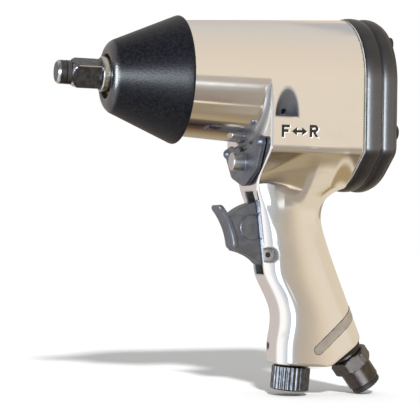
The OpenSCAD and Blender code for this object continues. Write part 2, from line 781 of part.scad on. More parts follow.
// Turns a piece front to back about the middle of a stretch of the drive axis
module mirror_about(x0, length) {
    translate([2 * x0 + length, 0, 0]) mirror([1, 0, 0]) children();
}
module front_bearing() {
    bearing(x_motor);
}
module motor_cylinder() {
    color(grey_casting) difference() {
        x_rod(x_cylinder, x_cylinder_end, motor_bore_d / 2);
        translate([0, 0, -bore_drop]) x_rod(x_cylinder - cut, x_cylinder_end + cut, cylinder_bore_d / 2);
        translate([0, 0, dowel_orbit]) x_rod(x_cylinder - cut, x_cylinder_end + cut, dowel_r + seat_gap);
        cylinder_ports();
        exhaust_port(-barrel_rear_d / 2);
    }
}
module cylinder_dowel() {
    color(bright_steel) translate([0, 0, dowel_orbit]) x_rod(x_motor + cut, x_motor_end - cut, dowel_r);
}
rotor_gap = 0.3;
slot_floor = 11.5;
vane_floor_gap = 0.5;
vane_proud = 0.1;
module at_vanes() {
    for (i = [0 : vane_count - 1]) rotate([360 * i / vane_count, 0, 0]) children();
}
module rotor() {
    x0 = x_cylinder + rotor_gap;
    x1 = x_cylinder_end - rotor_gap;
    color(steel) {
        difference() {
            x_rod(x0, x1, rotor_d / 2);
            at_vanes() translate([x0 - cut, -vane_t / 2 - seat_gap, slot_floor])
                cube([x1 - x0 + 2 * cut, vane_t + 2 * seat_gap, rotor_d]);
        }
        x_rod(x_motor, x0 + cut, shaft_r);
        x_rod(x1 - cut, x_motor_end, shaft_r);
        translate([x_cage_rear + stub_len, 0, 0]) rotate([0, 90, 0])
            cylinder(h = x_motor - x_cage_rear - stub_len + cut, d = drive_hex_d, $fn = 6);
    }
}
module vanes() {
    x0 = x_cylinder + rotor_gap;
    x1 = x_cylinder_end - rotor_gap;
    low = slot_floor + vane_floor_gap;
    color(resin) at_vanes() translate([x0, -vane_t / 2, low])
        cube([x1 - x0, vane_t, rotor_d / 2 + vane_proud - low]);
}
module rear_end_plate() {
    color(bronze) end_plate(x_cylinder_end, x_cylinder_end + plate_t - bearing_w);
}
module rear_bearing() {
    bearing(x_motor_end - bearing_w);
}

// Rear joint: outline of the housing's end, grown or shrunk all round
arch_steps = 20;
function joint_outline(off) = let (r = barrel_rear_d / 2 + off)
    concat(arc([0, 0], r, 0, 180, arch_steps), lower_outline(r, -flat_drop - off / 2, -belly_drop - off));
function joint_ring(x, off) = [for (p = joint_outline(off)) [x, p[0], p[1]]];
gasket_proud = 0.2;
cover_hole_gap = 0.2;
module rear_gasket() {
    color(paper) difference() {
        x_slab(x_rear, x_cover) polygon(joint_outline(gasket_proud));
        x_rod(x_rear - cut, x_cover + cut, motor_bore_d / 2 + seat_gap);
        at_cover_screws() x_rod(x_rear - cut, x_cover + cut, cover_screw_d / 2 + cover_hole_gap);
    }
}
// Cover: a broad and a narrower round rib, a rounded back edge, and a spigot that clamps the motor
rib_share = [0.56, 0.44];
rib_steps = 4;
rib_height = 1.3;
back_round = 2;
back_steps = 3;
spigot_wall = 4.5;
head_r = 4.25;
head_h = 5;
head_proud = 1.2;
cover_hollow = 10;
function rib_along(k, a) = (k == 0 ? 0 : rib_share[0])
    + rib_share[k] * (0.5 - 0.5 * cos(a) / cos(90 / (rib_steps + 1)));
function cover_rings() = let (ribs_w = cover_t - back_round)
    concat(
        [for (k = [0, 1], i = [0 : rib_steps]) let (a = 180 * (i + 0.5) / (rib_steps + 1))
            joint_ring(x_cover + ribs_w * rib_along(k, a),
                cover_proud - rib_height * (1 - sin(a)))],
        [for (i = [1 : back_steps]) let (a = 90 * i / back_steps)
            joint_ring(x_back - back_round + back_round * sin(a),
                cover_proud - rib_height - back_round * (1 - cos(a)))]);
module rear_cover() {
    color(rubber) difference() {
        union() {
            skin(cover_rings());
            x_rod(x_motor_end, x_cover + cut, motor_bore_d / 2 - seat_gap);
        }
        x_rod(x_motor_end - cut, x_cover + cover_hollow, motor_bore_d / 2 - spigot_wall);
        at_cover_screws() {
            x_rod(x_cover - cut, x_back + cut, cover_screw_d / 2 + cover_hole_gap);
            x_rod(x_back + head_proud - head_h, x_back + cut, head_r + cover_hole_gap);
        }
    }
}
module rear_cover_screws() {
    socket_depth = 2.6;
    socket_d = 4.6;
    color(bright_steel) at_cover_screws() difference() {
        union() {
            x_rod(x_rear - cover_screw_into + cut, x_back, cover_screw_d / 2);
            x_rod(x_back + head_proud - head_h, x_back + head_proud, head_r);
        }
        translate([x_back + head_proud - socket_depth, 0, 0]) rotate([0, 90, 0])
            cylinder(h = socket_depth + cut, d = socket_d, $fn = 6);
    }
}

// Reverse valve and its lever
valve_end_gap = 0.6;
bush_port_y = 0.6 * port_y;
module reverse_ports() {
    for (s = [-1, 1])
        translate([port_x, s * bush_port_y, z_reverse])
            cylinder(h = reverse_bush_d, r = port_r, $fn = small_fn);
    translate([seat_port_x, 0, z_reverse - reverse_bush_d])
        cylinder(h = reverse_bush_d, r = seat_port_r, $fn = small_fn);
}
module reverse_bushing() {
    color(bronze) difference() {
        at_reverse()
            x_ring(x_reverse, x_reverse_end - seat_gap, reverse_bush_d / 2, reverse_valve_d / 2 + run_gap);
        reverse_ports();
    }
}
module reverse_valve() {
    x0 = x_reverse + valve_end_gap;
    x1 = x_reverse_end - valve_end_gap;
    way_depth = 2.4;
    way_len = 14;
    color(steel) difference() {
        at_reverse() {
            x_rod(x0, x1, reverse_valve_d / 2);
            x_rod(x_lever - neck_into_knob, x0 + cut, neck_d / 2);
        }
        for (s = [-1, 1])
            translate([seat_port_x, 0, z_reverse + s * (reverse_valve_d - way_depth)])
                cube([way_len, reverse_valve_d, reverse_valve_d], center = true);
        lever_pin_hole(seat_gap);
    }
}
lever_pin_r = 1;
ear_r = 3;
ear_rise = 17;
shield_r = 14;
shield_rise = 0.8;
cheek_r = 6;
cheek_y = 15.2;
cheek_drop = 1.9;
lobe_r = 2.8;
lobe_y = 8.5;
lobe_z = 6.8;
arch_above_axis = 6;
lever_arch_r = reverse_drop - arch_above_axis;
groove_r = 2;
groove_sweep = 36;
module lever_pin_hole(gap) {
    y_rod(x_lever - neck_into_knob / 2, z_reverse, lever_pin_r + gap, lever_knob_d + cut);
}
module lever_outline() {
    difference() {
        hull() {
            for (s = [-1, 1]) {
                translate([s * lever_ear * cos(ear_rise), lever_ear * sin(ear_rise)])
                    circle(r = ear_r, $fn = small_fn);
                translate([s * cheek_y, -cheek_drop]) circle(r = cheek_r, $fn = small_fn);
            }
            translate([0, shield_rise]) circle(r = shield_r);
        }
        translate([0, reverse_drop]) circle(r = lever_arch_r, $fn = fine_fn);
    }
    for (s = [-1, 1]) translate([s * lobe_y, lobe_z]) circle(r = lobe_r, $fn = small_fn);
}
module reverse_lever() {
    color(grey_casting) difference() {
        at_reverse() rotate([-lever_turn, 0, 0]) {
            x_slab(x_lever, x_lever_back) lever_outline();
            x_rod(x_knob, x_lever + lever_t, lever_knob_d / 2);
        }
        at_reverse() x_rod(x_lever - neck_into_knob, x_lever_back + cut, neck_d / 2 + seat_gap);
        lever_pin_hole(seat_gap);
        at_reverse() rotate([-lever_turn, 0, 0]) translate([x_detent, 0, 0]) rotate([0, 90, 0])
            rotate([0, 0, 90 + detent_at - groove_sweep / 2]) rotate_extrude(angle = groove_sweep)
                translate([detent_orbit, 0]) circle(r = groove_r, $fn = small_fn);
    }
}
module lever_pin() {
    color(bright_steel)
        y_rod(x_lever - neck_into_knob / 2, z_reverse, lever_pin_r, lever_knob_d - 2 * lever_pin_r);
}
module detent_ball() {
    color(bright_steel) translate([x_detent, detent_y, detent_z]) sphere(r = detent_r, $fn = small_fn);
}
detent_coil_r = detent_r - 0.3;
detent_wire_r = 0.25;
detent_turns = 5;
module detent_spring() {
    color(bright_steel) translate([0, detent_y, detent_z])
        x_spring(x_detent + detent_r, x_detent_end - seat_gap, detent_coil_r, detent_wire_r, detent_turns);
}

// Trigger: a hollow finger paddle on a web that swings on its pin
paddle_low = 4;
paddle_high = 41;
paddle_front = 57.2;
paddle_steps = 12;
tip_turn = 60;
tip_steps = 4;
boss_r = 6;
web_low_drop = 1.6;
web_low_angle = paddle_low + 1;
boss_front = 0.5 * boss_r;
boss_low = 0.85 * boss_r;
boss_back_low = 0.7 * boss_r;
module paddle_outline() {
    c = [pin_x - paddle_front, pin_z];
    polygon(concat(
        arc(c, paddle_r, paddle_low, paddle_high, paddle_steps),
        arc(c + (paddle_r + paddle_t / 2) * [cos(paddle_high), sin(paddle_high)], paddle_t / 2,
            paddle_high + 90 + tip_turn, paddle_high + 90 - tip_turn, tip_steps),
        arc(c, paddle_r + paddle_t, paddle_high, paddle_low, paddle_steps)));
}
module web_outline() {
    c = [pin_x - paddle_front, pin_z];
    paddle_mid = paddle_r + paddle_t / 2;
    intersection() {
        translate([pin_x, pin_z]) circle(r = web_r, $fn = fine_fn);
        difference() {
            polygon([
                [pin_x + web_back, pin_z + web_r],
                c + [0, web_r],
                c + paddle_mid * [cos(web_low_angle), sin(web_low_angle)] - [0, web_low_drop],
                [pin_x - boss_front, pin_z - boss_low],
                [pin_x + web_back, pin_z - boss_back_low]]);
            translate(c) circle(r = paddle_mid, $fn = fine_fn);
        }
    }
    translate([pin_x, pin_z]) circle(r = boss_r, $fn = small_fn);
}
module trigger() {
    color(grey_casting) difference() {
        union() {
            y_slab(paddle_w) paddle_outline();
            y_slab(slot_w - 2 * pass_gap) web_outline();
        }
        y_rod(pin_x, pin_z, trigger_pin_d / 2 + run_gap, handle_w);
    }
}
module trigger_pin() {
    color(bright_steel) difference() {
        y_rod(pin_x, pin_z, trigger_pin_d / 2, 2 * pin_half - 2 * seat_gap);
        y_rod(pin_x, pin_z, trigger_pin_d / 4, 2 * pin_half + cut);
    }
}

// Throttle valve behind the trigger
seat_land = 3.7;
seat_counterbore = 1.2;
module throttle_seat() {
    color(bronze) at_stem() difference() {
        x_ring(x_seat, x_seat_end, throttle_bore_d / 2, stem_d / 2 + run_gap);
        x_rod(x_seat + seat_land, x_seat_end + cut, stem_d / 2 + seat_counterbore);
        translate([seat_port_x, 0, 0]) cylinder(h = throttle_bore_d, r = seat_port_r, $fn = small_fn);
    }
}
module throttle_stem() {
    color(steel) at_stem() {
        x_rod(stem_tip_x + stem_d / 2, x_head + cut, stem_d / 2);
        translate([stem_tip_x + stem_d / 2, 0, 0]) sphere(d = stem_d);
        x_rod(x_head, x_head_end, valve_head_d / 2);
    }
}
throttle_coil_r = valve_head_d / 2 - 0.9;
throttle_wire_r = 0.4;
throttle_turns = 4;
module throttle_spring() {
    color(bright_steel) at_stem()
        x_spring(x_head_end + seat_gap, x_throttle_end - seat_gap,
            throttle_coil_r, throttle_wire_r, throttle_turns);
}

// Air regulator: a straight-knurled knob on a hollow valve stem
knob_gap = pass_gap + knob_d / 2 * tan(regulator_tilt - bottom_tilt);
groove_depth = 0.55;
groove_flank = 0.25;
o_ring_tube = 1;
o_ring_w = 2.2 * o_ring_tube;
keeper_w = 4 * regulator_pin_r;
o_ring_up = 20;
cup_r = 4;
cup_from = 27;
window_r = 3.4;
window_up = 36;
function knurl_outline(r) = [for (i = [0 : 4 * knob_grooves - 1]) let (a = 90 * i / knob_grooves)
    (r - groove_depth * (i % 4 == 0 ? 1 : i % 4 == 2 ? 0 : groove_flank)) * [cos(a), sin(a)]];
module regulator() {
    color(dark_steel) at_regulator() difference() {
        union() {
            translate([0, 0, -knob_gap - knob_len])
                linear_extrude(knob_len) polygon(knurl_outline(knob_d / 2));
            translate([0, 0, -knob_gap - cut])
                cylinder(h = regulator_stem_len + knob_gap + cut, d = regulator_stem_d);
        }
        rotate_extrude() translate([regulator_stem_d / 2 - 2 * o_ring_tube, o_ring_up - o_ring_w / 2])
            square([4 * o_ring_tube, o_ring_w]);
        translate([0, 0, regulator_pin_up / cos(regulator_tilt)]) difference() {
            cylinder(h = keeper_w, d = 2 * regulator_stem_d, center = true);
            cylinder(h = keeper_w + cut, r = regulator_pin_y - regulator_pin_r - pass_gap, center = true);
        }
        translate([0, 0, cup_from]) cylinder(h = regulator_stem_len, r = cup_r);
        translate([0, 0, window_up]) rotate([0, 90, 0]) cylinder(h = regulator_stem_d, r = window_r);
    }
}
module regulator_o_ring() {
    color(rubber) at_regulator() translate([0, 0, o_ring_up]) rotate_extrude()
        translate([regulator_stem_d / 2 - o_ring_tube, 0]) circle(r = o_ring_tube - seat_gap, $fn = small_fn);
}
// Keeper pin: it crosses the handle beside the stem, in the stem's groove
regulator_pin_inset = 1;
module regulator_pin() {
    from_x = front_x(regulator_pin_z) + regulator_pin_inset;
    color(bright_steel) translate([0, regulator_pin_y, regulator_pin_z])
        x_rod(from_x, regulator_x + regulator_pin_past, regulator_pin_r);
}

// Air inlet
seal_t = 3.6;
seal_d = 19.8;
neck_len = 1.5;
hex_len = 8;
body_len = 10.1;
body_d = 18.2;
lip_len = 3.2;
lip_d = 17;
inlet_len = seal_t + neck_len + hex_len + body_len + lip_len;
inner_bore_d = 10;
screen_r = 4.6;
screen_t = 0.8;
module inlet_bushing() {
    hex_z = seal_t + neck_len;
    body_z = hex_z + hex_len;
    color(dark_steel) at_inlet() difference() {
        union() {
            translate([0, 0, -inlet_thread_len + pass_gap])
                cylinder(h = inlet_thread_len + hex_z, d = inlet_thread_d);
            translate([0, 0, hex_z]) intersection() {
                cylinder(h = hex_len, d = inlet_hex / cos(30), $fn = 6);
                cylinder(h = hex_len, r1 = inlet_hex / 2, r2 = inlet_hex / 2 + hex_len);
            }
            translate([0, 0, body_z - cut]) cylinder(h = body_len + cut, d = body_d);
            translate([0, 0, body_z + body_len - cut]) cylinder(h = lip_len + cut, d = lip_d);
        }
        translate([0, 0, inlet_len - hose_thread_len]) cylinder(h = hose_thread_len + cut, d = hose_thread_d);
        translate([0, 0, -inlet_thread_len]) cylinder(h = inlet_thread_len + inlet_len, d = inner_bore_d);
    }
}
module inlet_seal() {
    color(rubber) at_inlet() difference() {
        cylinder(h = seal_t, d = seal_d);
        translate([0, 0, -cut]) cylinder(h = seal_t + 2 * cut, d = inlet_thread_d + 2 * seat_gap);
    }
}
// Thimble strainer with a collar that seats under the hose thread
collar_len = 3;
module inlet_screen() {
    step_z = inlet_len - hose_thread_len;
    low_z = -inlet_thread_len + cut;
    color(bright_steel) at_inlet() difference() {
        union() {
            translate([0, 0, low_z]) cylinder(h = step_z - low_z, r = screen_r);
            translate([0, 0, step_z - collar_len]) cylinder(h = collar_len, d = inner_bore_d - 2 * seat_gap);
        }
        translate([0, 0, low_z + screen_t]) cylinder(h = 2 * inlet_thread_len, r = screen_r - screen_t);
    }
}

motor_housing();
nose_boot();
hammer_case();
hammer_case_screws();
hammer_case_gasket();
anvil_bushing();
anvil();
friction_ring();
friction_o_ring();
cage_front_plate();
cage_rear_plate();
hammer_pins();
front_hammer();
rear_hammer();
front_end_plate();
front_bearing();
motor_cylinder();
cylinder_dowel();
rotor();
vanes();
rear_end_plate();
rear_bearing();
rear_gasket();
rear_cover();
rear_cover_screws();
reverse_bushing();
reverse_valve();
reverse_lever();
lever_pin();
detent_ball();
detent_spring();
trigger();
trigger_pin();
throttle_seat();
throttle_stem();
throttle_spring();
regulator();
regulator_o_ring();
regulator_pin();
inlet_bushing();
inlet_seal();
inlet_screen();
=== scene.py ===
# %% [markdown]
# # A pistol-grip air impact wrench
# This lesson dresses the CAD frame of an impact wrench. The frame gives every piece its place
# and its body, and the cells below make the shapes that the eye lands on: the polished housing,
# the rubber boot, the ribbed cover, the trigger, the levers and the fittings.
# All shapes are worked out in millimetres and become metres when they are put into a mesh.

# %% The frame
import json

import bmesh
import bpy
import numpy as np
from mathutils import Matrix, Vector


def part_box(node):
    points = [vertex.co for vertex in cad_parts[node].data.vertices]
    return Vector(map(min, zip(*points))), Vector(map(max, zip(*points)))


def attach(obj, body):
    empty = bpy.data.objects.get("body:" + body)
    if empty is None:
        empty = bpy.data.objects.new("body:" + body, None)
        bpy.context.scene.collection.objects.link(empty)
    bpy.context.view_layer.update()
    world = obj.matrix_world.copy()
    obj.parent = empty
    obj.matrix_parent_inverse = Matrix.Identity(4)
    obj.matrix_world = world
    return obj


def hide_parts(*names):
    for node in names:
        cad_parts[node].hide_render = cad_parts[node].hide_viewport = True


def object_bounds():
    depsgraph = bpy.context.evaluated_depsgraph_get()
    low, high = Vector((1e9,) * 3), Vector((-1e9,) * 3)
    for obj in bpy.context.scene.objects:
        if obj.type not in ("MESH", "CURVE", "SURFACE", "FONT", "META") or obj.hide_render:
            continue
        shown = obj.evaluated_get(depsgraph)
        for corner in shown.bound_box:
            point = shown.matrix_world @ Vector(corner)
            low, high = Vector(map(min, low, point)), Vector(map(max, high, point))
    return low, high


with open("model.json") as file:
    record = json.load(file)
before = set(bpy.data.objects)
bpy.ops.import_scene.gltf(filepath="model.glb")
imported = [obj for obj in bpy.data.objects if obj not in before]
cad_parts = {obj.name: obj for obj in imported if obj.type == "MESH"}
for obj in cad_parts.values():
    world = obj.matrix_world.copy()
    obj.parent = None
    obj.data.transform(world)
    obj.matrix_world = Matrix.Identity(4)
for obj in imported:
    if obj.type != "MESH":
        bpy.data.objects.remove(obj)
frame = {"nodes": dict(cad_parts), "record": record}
cad_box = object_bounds()
nodes = frame["nodes"]
METRE = 0.001
print("CAD nodes:", len(nodes), "box:", np.round(cad_box, 4).tolist())

# %% [markdown]
# ## Small helpers for shape
# A casting has no sharp meeting of faces: the pattern maker rounds the outside edges and fills
# the inside ones. A smooth minimum of two distance fields does the same, so the whole housing can
# be one field.


# %% Distance helpers
def ease(t):
    """Runs from 0 to 1 with level ends: 3t squared less 2t cubed."""
    t = np.clip(t, 0.0, 1.0)
    return t * t * (3.0 - 2.0 * t)


def fill(a, b, k):
    """Smooth minimum: the smaller of a and b, less a parabola of height k/4 where they are near."""
    k = np.maximum(k, 1e-6)
    h = np.clip(0.5 + 0.5 * (b - a) / k, 0.0, 1.0)
    return b + (a - b) * h - k * h * (1.0 - h)


def trim(a, b, k):
    """Smooth maximum, which keeps what lies inside both and rounds their common edge."""
    return -fill(-a, -b, k)


def gradient(field, p, d=0.04):
    """Central differences of the field along X, Y and Z, a distance d to each side."""
    columns = []
    for axis in np.eye(3) * d:
        columns.append((field(*(p + axis).T) - field(*(p - axis).T)) / (2.0 * d))
    return np.stack(columns, axis=1)


# %% [markdown]
# ## Skin of a field
# A surface net follows the field's zero level through a grid, whose lines lie closer where the
# shape is fine.

# %% Skin of a field
NEWTON_STEPS = 4


def stretches(start, *runs):
    """Grid lines from start on: each run gives where it ends and the step it is divided by."""
    lines = [np.array([start])]
    for end, step in runs:
        count = int(np.ceil((end - lines[-1][-1]) / step))
        lines.append(np.linspace(lines[-1][-1], end, count + 1)[1:])
    return np.concatenate(lines)


def skin_of(field, axes):
    """Surface net of the field's zero level, on a grid whose lines along X, Y and Z are given.

    Every cell that the level crosses gets one vertex, at the mean of the crossings on its edges,
    and every crossed edge gets a quad of the four cells round it. Newton steps then move the
    vertices onto the level itself, and its gradient is their normal.
    """
    f = field(*np.meshgrid(*axes, indexing="ij"))
    cells = np.array(f.shape) - 1
    longest = max(np.diff(lines).max() for lines in axes)
    total = np.zeros((cells.prod(), 3))
    hits = np.zeros(cells.prod())
    loops = []
    for a in range(3):
        b, c = (a + 1) % 3, (a + 2) % 3
        f0 = np.moveaxis(np.moveaxis(f, a, 0)[:-1], 0, a)
        f1 = np.moveaxis(np.moveaxis(f, a, 0)[1:], 0, a)
        at = np.argwhere((f0 < 0) != (f1 < 0))
        at = at[(at[:, b] > 0) & (at[:, c] > 0) & (at[:, b] < cells[b]) & (at[:, c] < cells[c])]
        v0, v1 = f0[tuple(at.T)], f1[tuple(at.T)]
        cross = np.stack([lines[at[:, i]] for i, lines in enumerate(axes)], axis=1)
        cross[:, a] += v0 / (v0 - v1) * np.diff(axes[a])[at[:, a]]
        ring = []
        for db, dc in ((0, 0), (1, 0), (1, 1), (0, 1)):
            cell = at - db * np.eye(3, dtype=int)[b] - dc * np.eye(3, dtype=int)[c]
            flat = np.ravel_multi_index(tuple(cell.T), cells)
            ring.append(flat)
            hits += np.bincount(flat, minlength=len(hits))
            for i in range(3):
                total[:, i] += np.bincount(flat, weights=cross[:, i], minlength=len(hits))
        ring = np.stack(ring, axis=1)
        loops.append(np.where((v0 < 0)[:, None], ring, ring[:, ::-1]))
    used = hits > 0
    number = np.cumsum(used) - 1
    points = total[used] / hits[used][:, None]
    for _ in range(NEWTON_STEPS):
        g = gradient(field, points)
        slide = field(*points.T) / np.maximum((g * g).sum(axis=1), 0.05)
        points = points - g * np.clip(slide, -longest, longest)[:, None]
    g = gradient(field, points)
    normals = g / np.maximum(np.linalg.norm(g, axis=1, keepdims=True), 1e-9)
    return points, number[np.concatenate(loops)], normals


# %% [markdown]
# ## Putting a surface into the scene
# A piece is a mesh whose vertices are already in their place, so its object stays at the origin.
# One function turns its faces outwards if its signed volume says they are inside out, gives it its
# material, hangs it on an empty for the body it rides on, and hides the CAD nodes it stands for.


# %% Piece maker
def volume_of(points, quads):
    """Signed volume: a sixth of the sum of each corner fan's triple products."""
    a, b, c, d = (points[quads[:, i]] for i in range(4))
    return ((np.cross(a, b) * c).sum() + (np.cross(a, c) * d).sum()) / 6.0


def show(name, data):
    """New object that holds the data, linked into the scene."""
    obj = bpy.data.objects.new(name, data)
    bpy.context.scene.collection.objects.link(obj)
    return obj


def piece(name, surface, body, material, stands_for=(), crease=32.0):
    """Makes a mesh of a surface, which is its points and quads, and its normals if they are known."""
    points, quads, *normals = surface
    if volume_of(points, quads) < 0:
        quads = quads[:, ::-1]
    mesh = bpy.data.meshes.new(name)
    mesh.from_pydata((points * METRE).tolist(), [], quads.tolist())
    if not normals:
        build = bmesh.new()
        build.from_mesh(mesh)
        bmesh.ops.remove_doubles(build, verts=build.verts, dist=1e-7)
        bmesh.ops.dissolve_degenerate(build, edges=build.edges, dist=1e-7)
        build.to_mesh(mesh)
        build.free()
    mesh.shade_smooth()
    if normals:
        mesh.normals_split_custom_set_from_vertices(normals[0].tolist())
    else:
        mesh.set_sharp_from_angle(angle=np.radians(crease))
    obj = show(name, mesh)
    mesh.materials.append(material)
    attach(obj, body)
    if stands_for:
        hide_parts(*stands_for)
    print(f"{name}: {len(mesh.vertices)} vertices, {len(mesh.polygons)} faces, on {body}")
    return obj


def places(items, key):
    """Places of a mesh's vertices, by the key co, or faces, by center, in millimetres."""
    found = np.empty(3 * len(items))
    items.foreach_get(key, found)
    return found.reshape(-1, 3) / METRE


def note(obj, name, values):
    """Writes one number for each vertex into a named attribute."""
    noted = obj.data.attributes.new(name, "FLOAT", "POINT")
    noted.data.foreach_set("value", values.astype(np.float32))


def second_finish(obj, material, faces):
    """Gives another material to the faces for which the mask is true."""
    obj.data.materials.append(material)
    obj.data.polygons.foreach_set("material_index", np.array(faces, np.int32))


# %% [markdown]
# ## Turned surfaces
# A lathe carries a profile round an axis. Flats, knurls and threads vary the radius with the angle.


# %% Turned surfaces
def full_turn(count):
    """Evenly spaced angles once round, in radians."""
    return np.linspace(0.0, 2.0 * np.pi, count + 1)[:-1]


def lattice(rows, columns):
    """Quads of a grid that is open along its rows and closed round its columns."""
    i, j = np.meshgrid(np.arange(rows - 1), np.arange(columns), indexing="ij")
    k = (j + 1) % columns
    row, after = i * columns, (i + 1) * columns
    return np.stack([row + j, row + k, after + k, after + j], axis=-1).reshape(-1, 4)


def turned(rows, theta, centre, axis, side):
    """At each row's station along the axis, a ring of its radius, one number or one for each angle."""
    centre, axis, side = (np.array(v, float) for v in (centre, axis, side))
    stations = np.array([station for station, _ in rows], float)
    radii = np.array([np.broadcast_to(radius, theta.shape) for _, radius in rows], float)
    around = np.cos(theta)[:, None] * side + np.sin(theta)[:, None] * np.cross(axis, side)
    points = centre + stations[:, None, None] * axis + radii[:, :, None] * around
    return points.reshape(-1, 3), lattice(len(rows), len(theta))


# %% [markdown]
# ## Colours and nodes
# A colour is written as it would be in a paint program, so it has to be turned from its sRGB
# value into the linear value that the shader works with. One function adds any node.


# %% Colour and node helpers
def paint(code):
    """Linear RGBA of an sRGB hex code: each channel through the sRGB curve."""
    c = np.array([int(code[i:i + 2], 16) for i in (1, 3, 5)]) / 255.0
    linear = np.where(c <= 0.04045, c / 12.92, ((c + 0.055) / 1.055) ** 2.4)
    return (*linear.tolist(), 1.0)


def plug(node, **inputs):
    """Sets or links each named input of a node. A name like _2 is the number of an input."""
    for key, value in inputs.items():
        socket = node.inputs[int(key[1:]) if key[0] == "_" else key.replace("_", " ")]
        if isinstance(value, bpy.types.NodeSocket):
            node.id_data.links.new(value, socket)
        else:
            socket.default_value = value
    return node


def add(tree, kind, settings=None, **inputs):
    """Adds a node of a kind, sets its attributes, and sets or links its inputs."""
    made = tree.nodes.new("ShaderNode" + kind)
    for key, value in (settings or {}).items():
        setattr(made, key, value)
    return plug(made, **inputs)


def ramp(factor, stops):
    """Colour ramp with its stops given as place and hex code."""
    made = add(factor.id_data, "ValToRGB", Fac=factor)
    ladder = made.color_ramp.elements
    while len(ladder) < len(stops):
        ladder.new(1.0)
    for step, (place, code) in zip(ladder, stops):
        step.position = place
        step.color = paint(code)
    return made.outputs["Color"]


def blend(share, under, over):
    """Colour that goes from under to over as the share goes from 0 to 1."""
    return add(share.id_data, "Mix", {"data_type": "RGBA"}, _0=share, _6=under, _7=over).outputs[2]


def spread(value, low, high, start=0.0, stop=1.0):
    """Goes straight from low to high as the value goes from start to stop."""
    return add(value.id_data, "MapRange", _0=value, _1=start, _2=stop, _3=low, _4=high).outputs[0]


def finish(name, **sockets):
    """New material with one Principled shader and its plain sockets set."""
    made = bpy.data.materials.new(name)
    made.use_nodes = True
    return made, made.node_tree, plug(made.node_tree.nodes["Principled BSDF"], **sockets)


PER_MM = 1.0 / METRE

# %% [markdown]
# ## Polished die-cast aluminium
# The housing is an aluminium casting that was ground and then buffed on a wheel. The eye gets a
# near mirror that is a little warm, with faint streaks in its gloss where the wheel ran, and a
# slow wave in its surface that bends what it mirrors. The attribute read below is high where the
# metal is dull and grey: in the openings, which the wheel couldn't reach, and in the sweep under
# the barrel ahead of the box, where the grey is painted shade.

# %% Polished aluminium
polished, tree, shader = finish("aluminium die casting, buffed to a mirror")
place = add(tree, "TexCoord").outputs["Object"]
stretch = add(tree, "Mapping", Vector=place, Scale=(0.15 * PER_MM, 0.5 * PER_MM, 0.15 * PER_MM))
streaks = add(tree, "TexNoise", Vector=stretch.outputs["Vector"], Scale=1.0, Detail=3.0)
as_cast_and_shade = add(tree, "Attribute", {"attribute_name": "as_cast_and_shade"}).outputs["Fac"]
gloss = spread(streaks.outputs[0], 0.06, 0.12, 0.3, 0.7)
rough = add(tree, "Mix", _0=as_cast_and_shade, _2=gloss, _3=0.5)
# The grey is dull metal in the openings and painted shade in the sweep under the barrel
tone = blend(as_cast_and_shade, paint("#f3f1ee"), paint("#66676b"))
wave = add(tree, "TexNoise", Vector=place, Scale=0.045 * PER_MM, Detail=1.0)
bump = add(tree, "Bump", Strength=0.25, Distance=0.2 * METRE, Height=wave.outputs[0])
plug(shader, Roughness=rough.outputs[0], Base_Color=tone, Metallic=spread(as_cast_and_shade, 1.0, 0.5),
     Normal=bump.outputs[0])
print(polished.name, "has", len(tree.nodes), "nodes")

# %% [markdown]
# ## Rubber, black coat, steel and cast grey
# The boot is moulded rubber with a fine grain. The cover is a casting with a satin black coat.
# The anvil is phosphated steel. The inlet's black oxide skin is thin enough to stay metallic. The
# trigger and the reverse lever are grey castings that were only tumbled. The comment on each
# finish says what it gives the eye.


# %% The other finishes
def grained(name, code, light_code, grain_mm, depth_mm, patch_mm, **sockets):
    """Finish whose colour drifts between two codes in patches, over a fine bump."""
    made, tree, shader = finish(name, **sockets)
    place = add(tree, "TexCoord").outputs["Object"]
    drift = add(tree, "TexNoise", Vector=place, Scale=PER_MM / patch_mm, Detail=4.0)
    colour = ramp(drift.outputs[0], [(0.35, code), (0.68, light_code)])
    grain = add(tree, "TexNoise", Vector=place, Scale=PER_MM / grain_mm, Detail=2.0)
    bump = add(tree, "Bump", Strength=1.0, Distance=depth_mm * METRE, Height=grain.outputs[0])
    plug(shader, Base_Color=colour, Normal=bump.outputs[0])
    return made


# Nearly black and faintly speckled: a soft dark cone
rubber = grained("nitrile rubber, moulded", "#08090d", "#1a1c24", 0.9, 0.07, 1.6)
# Black, with a broad sheen along each rib
black_coat = grained("aluminium casting, satin black coat", "#171618", "#1f1d1f", 2.0, 0.04, 8.0,
                     Roughness=0.38)
# Dark and slightly brown, but it still flashes on its flats
black_oxide = grained("steel, black oxide", "#4c4744", "#595451", 1.2, 0.03, 4.0,
                      Metallic=1.0, Roughness=0.3)
# Dull grey with small blotches
gun_metal = grained("steel, hardened and phosphated", "#4c4e52", "#686a6e", 1.4, 0.06, 2.2,
                    Metallic=1.0, Roughness=0.33)
# A soft bluish mid grey
cast_grey = grained("zinc die casting, tumbled", "#666a73", "#797e88", 1.0, 0.05, 5.0,
                    Metallic=0.9, Roughness=0.38)
# Bright where steel is worn or ground
ground = grained("steel, ground bright", "#b9b7b2", "#cfcdc8", 1.0, 0.01, 6.0,
                 Metallic=1.0, Roughness=0.22)
# The motor's plain dark grey
motor_iron = grained("cast iron, honed", "#5c5d60", "#707174", 1.2, 0.04, 6.0,
                     Metallic=1.0, Roughness=0.4)
# A brown glint deep in the nose
bronze = grained("bronze, sintered", "#9a7442", "#b08850", 0.8, 0.03, 5.0,
                 Metallic=1.0, Roughness=0.36)
# A dead black ring
seal = grained("rubber, moulded seal", "#141416", "#1c1c1f", 0.8, 0.02, 5.0, Roughness=0.5)
# Dry brown, as sawn board
resin = grained("phenolic resin and cloth, sawn", "#5a4128", "#6f5233", 1.0, 0.03, 4.0, Roughness=0.6)
# The pale line at the rear joint
paper = grained("gasket paper, pressed", "#9a9c98", "#b4b6b2", 0.6, 0.02, 4.0, Roughness=0.7)
# A pale, even grey beside the mirror
satin_cast = grained("aluminium, as cast", "#bab8b8", "#cecccb", 1.0, 0.03, 5.0,
                     Metallic=1.0, Roughness=0.34)
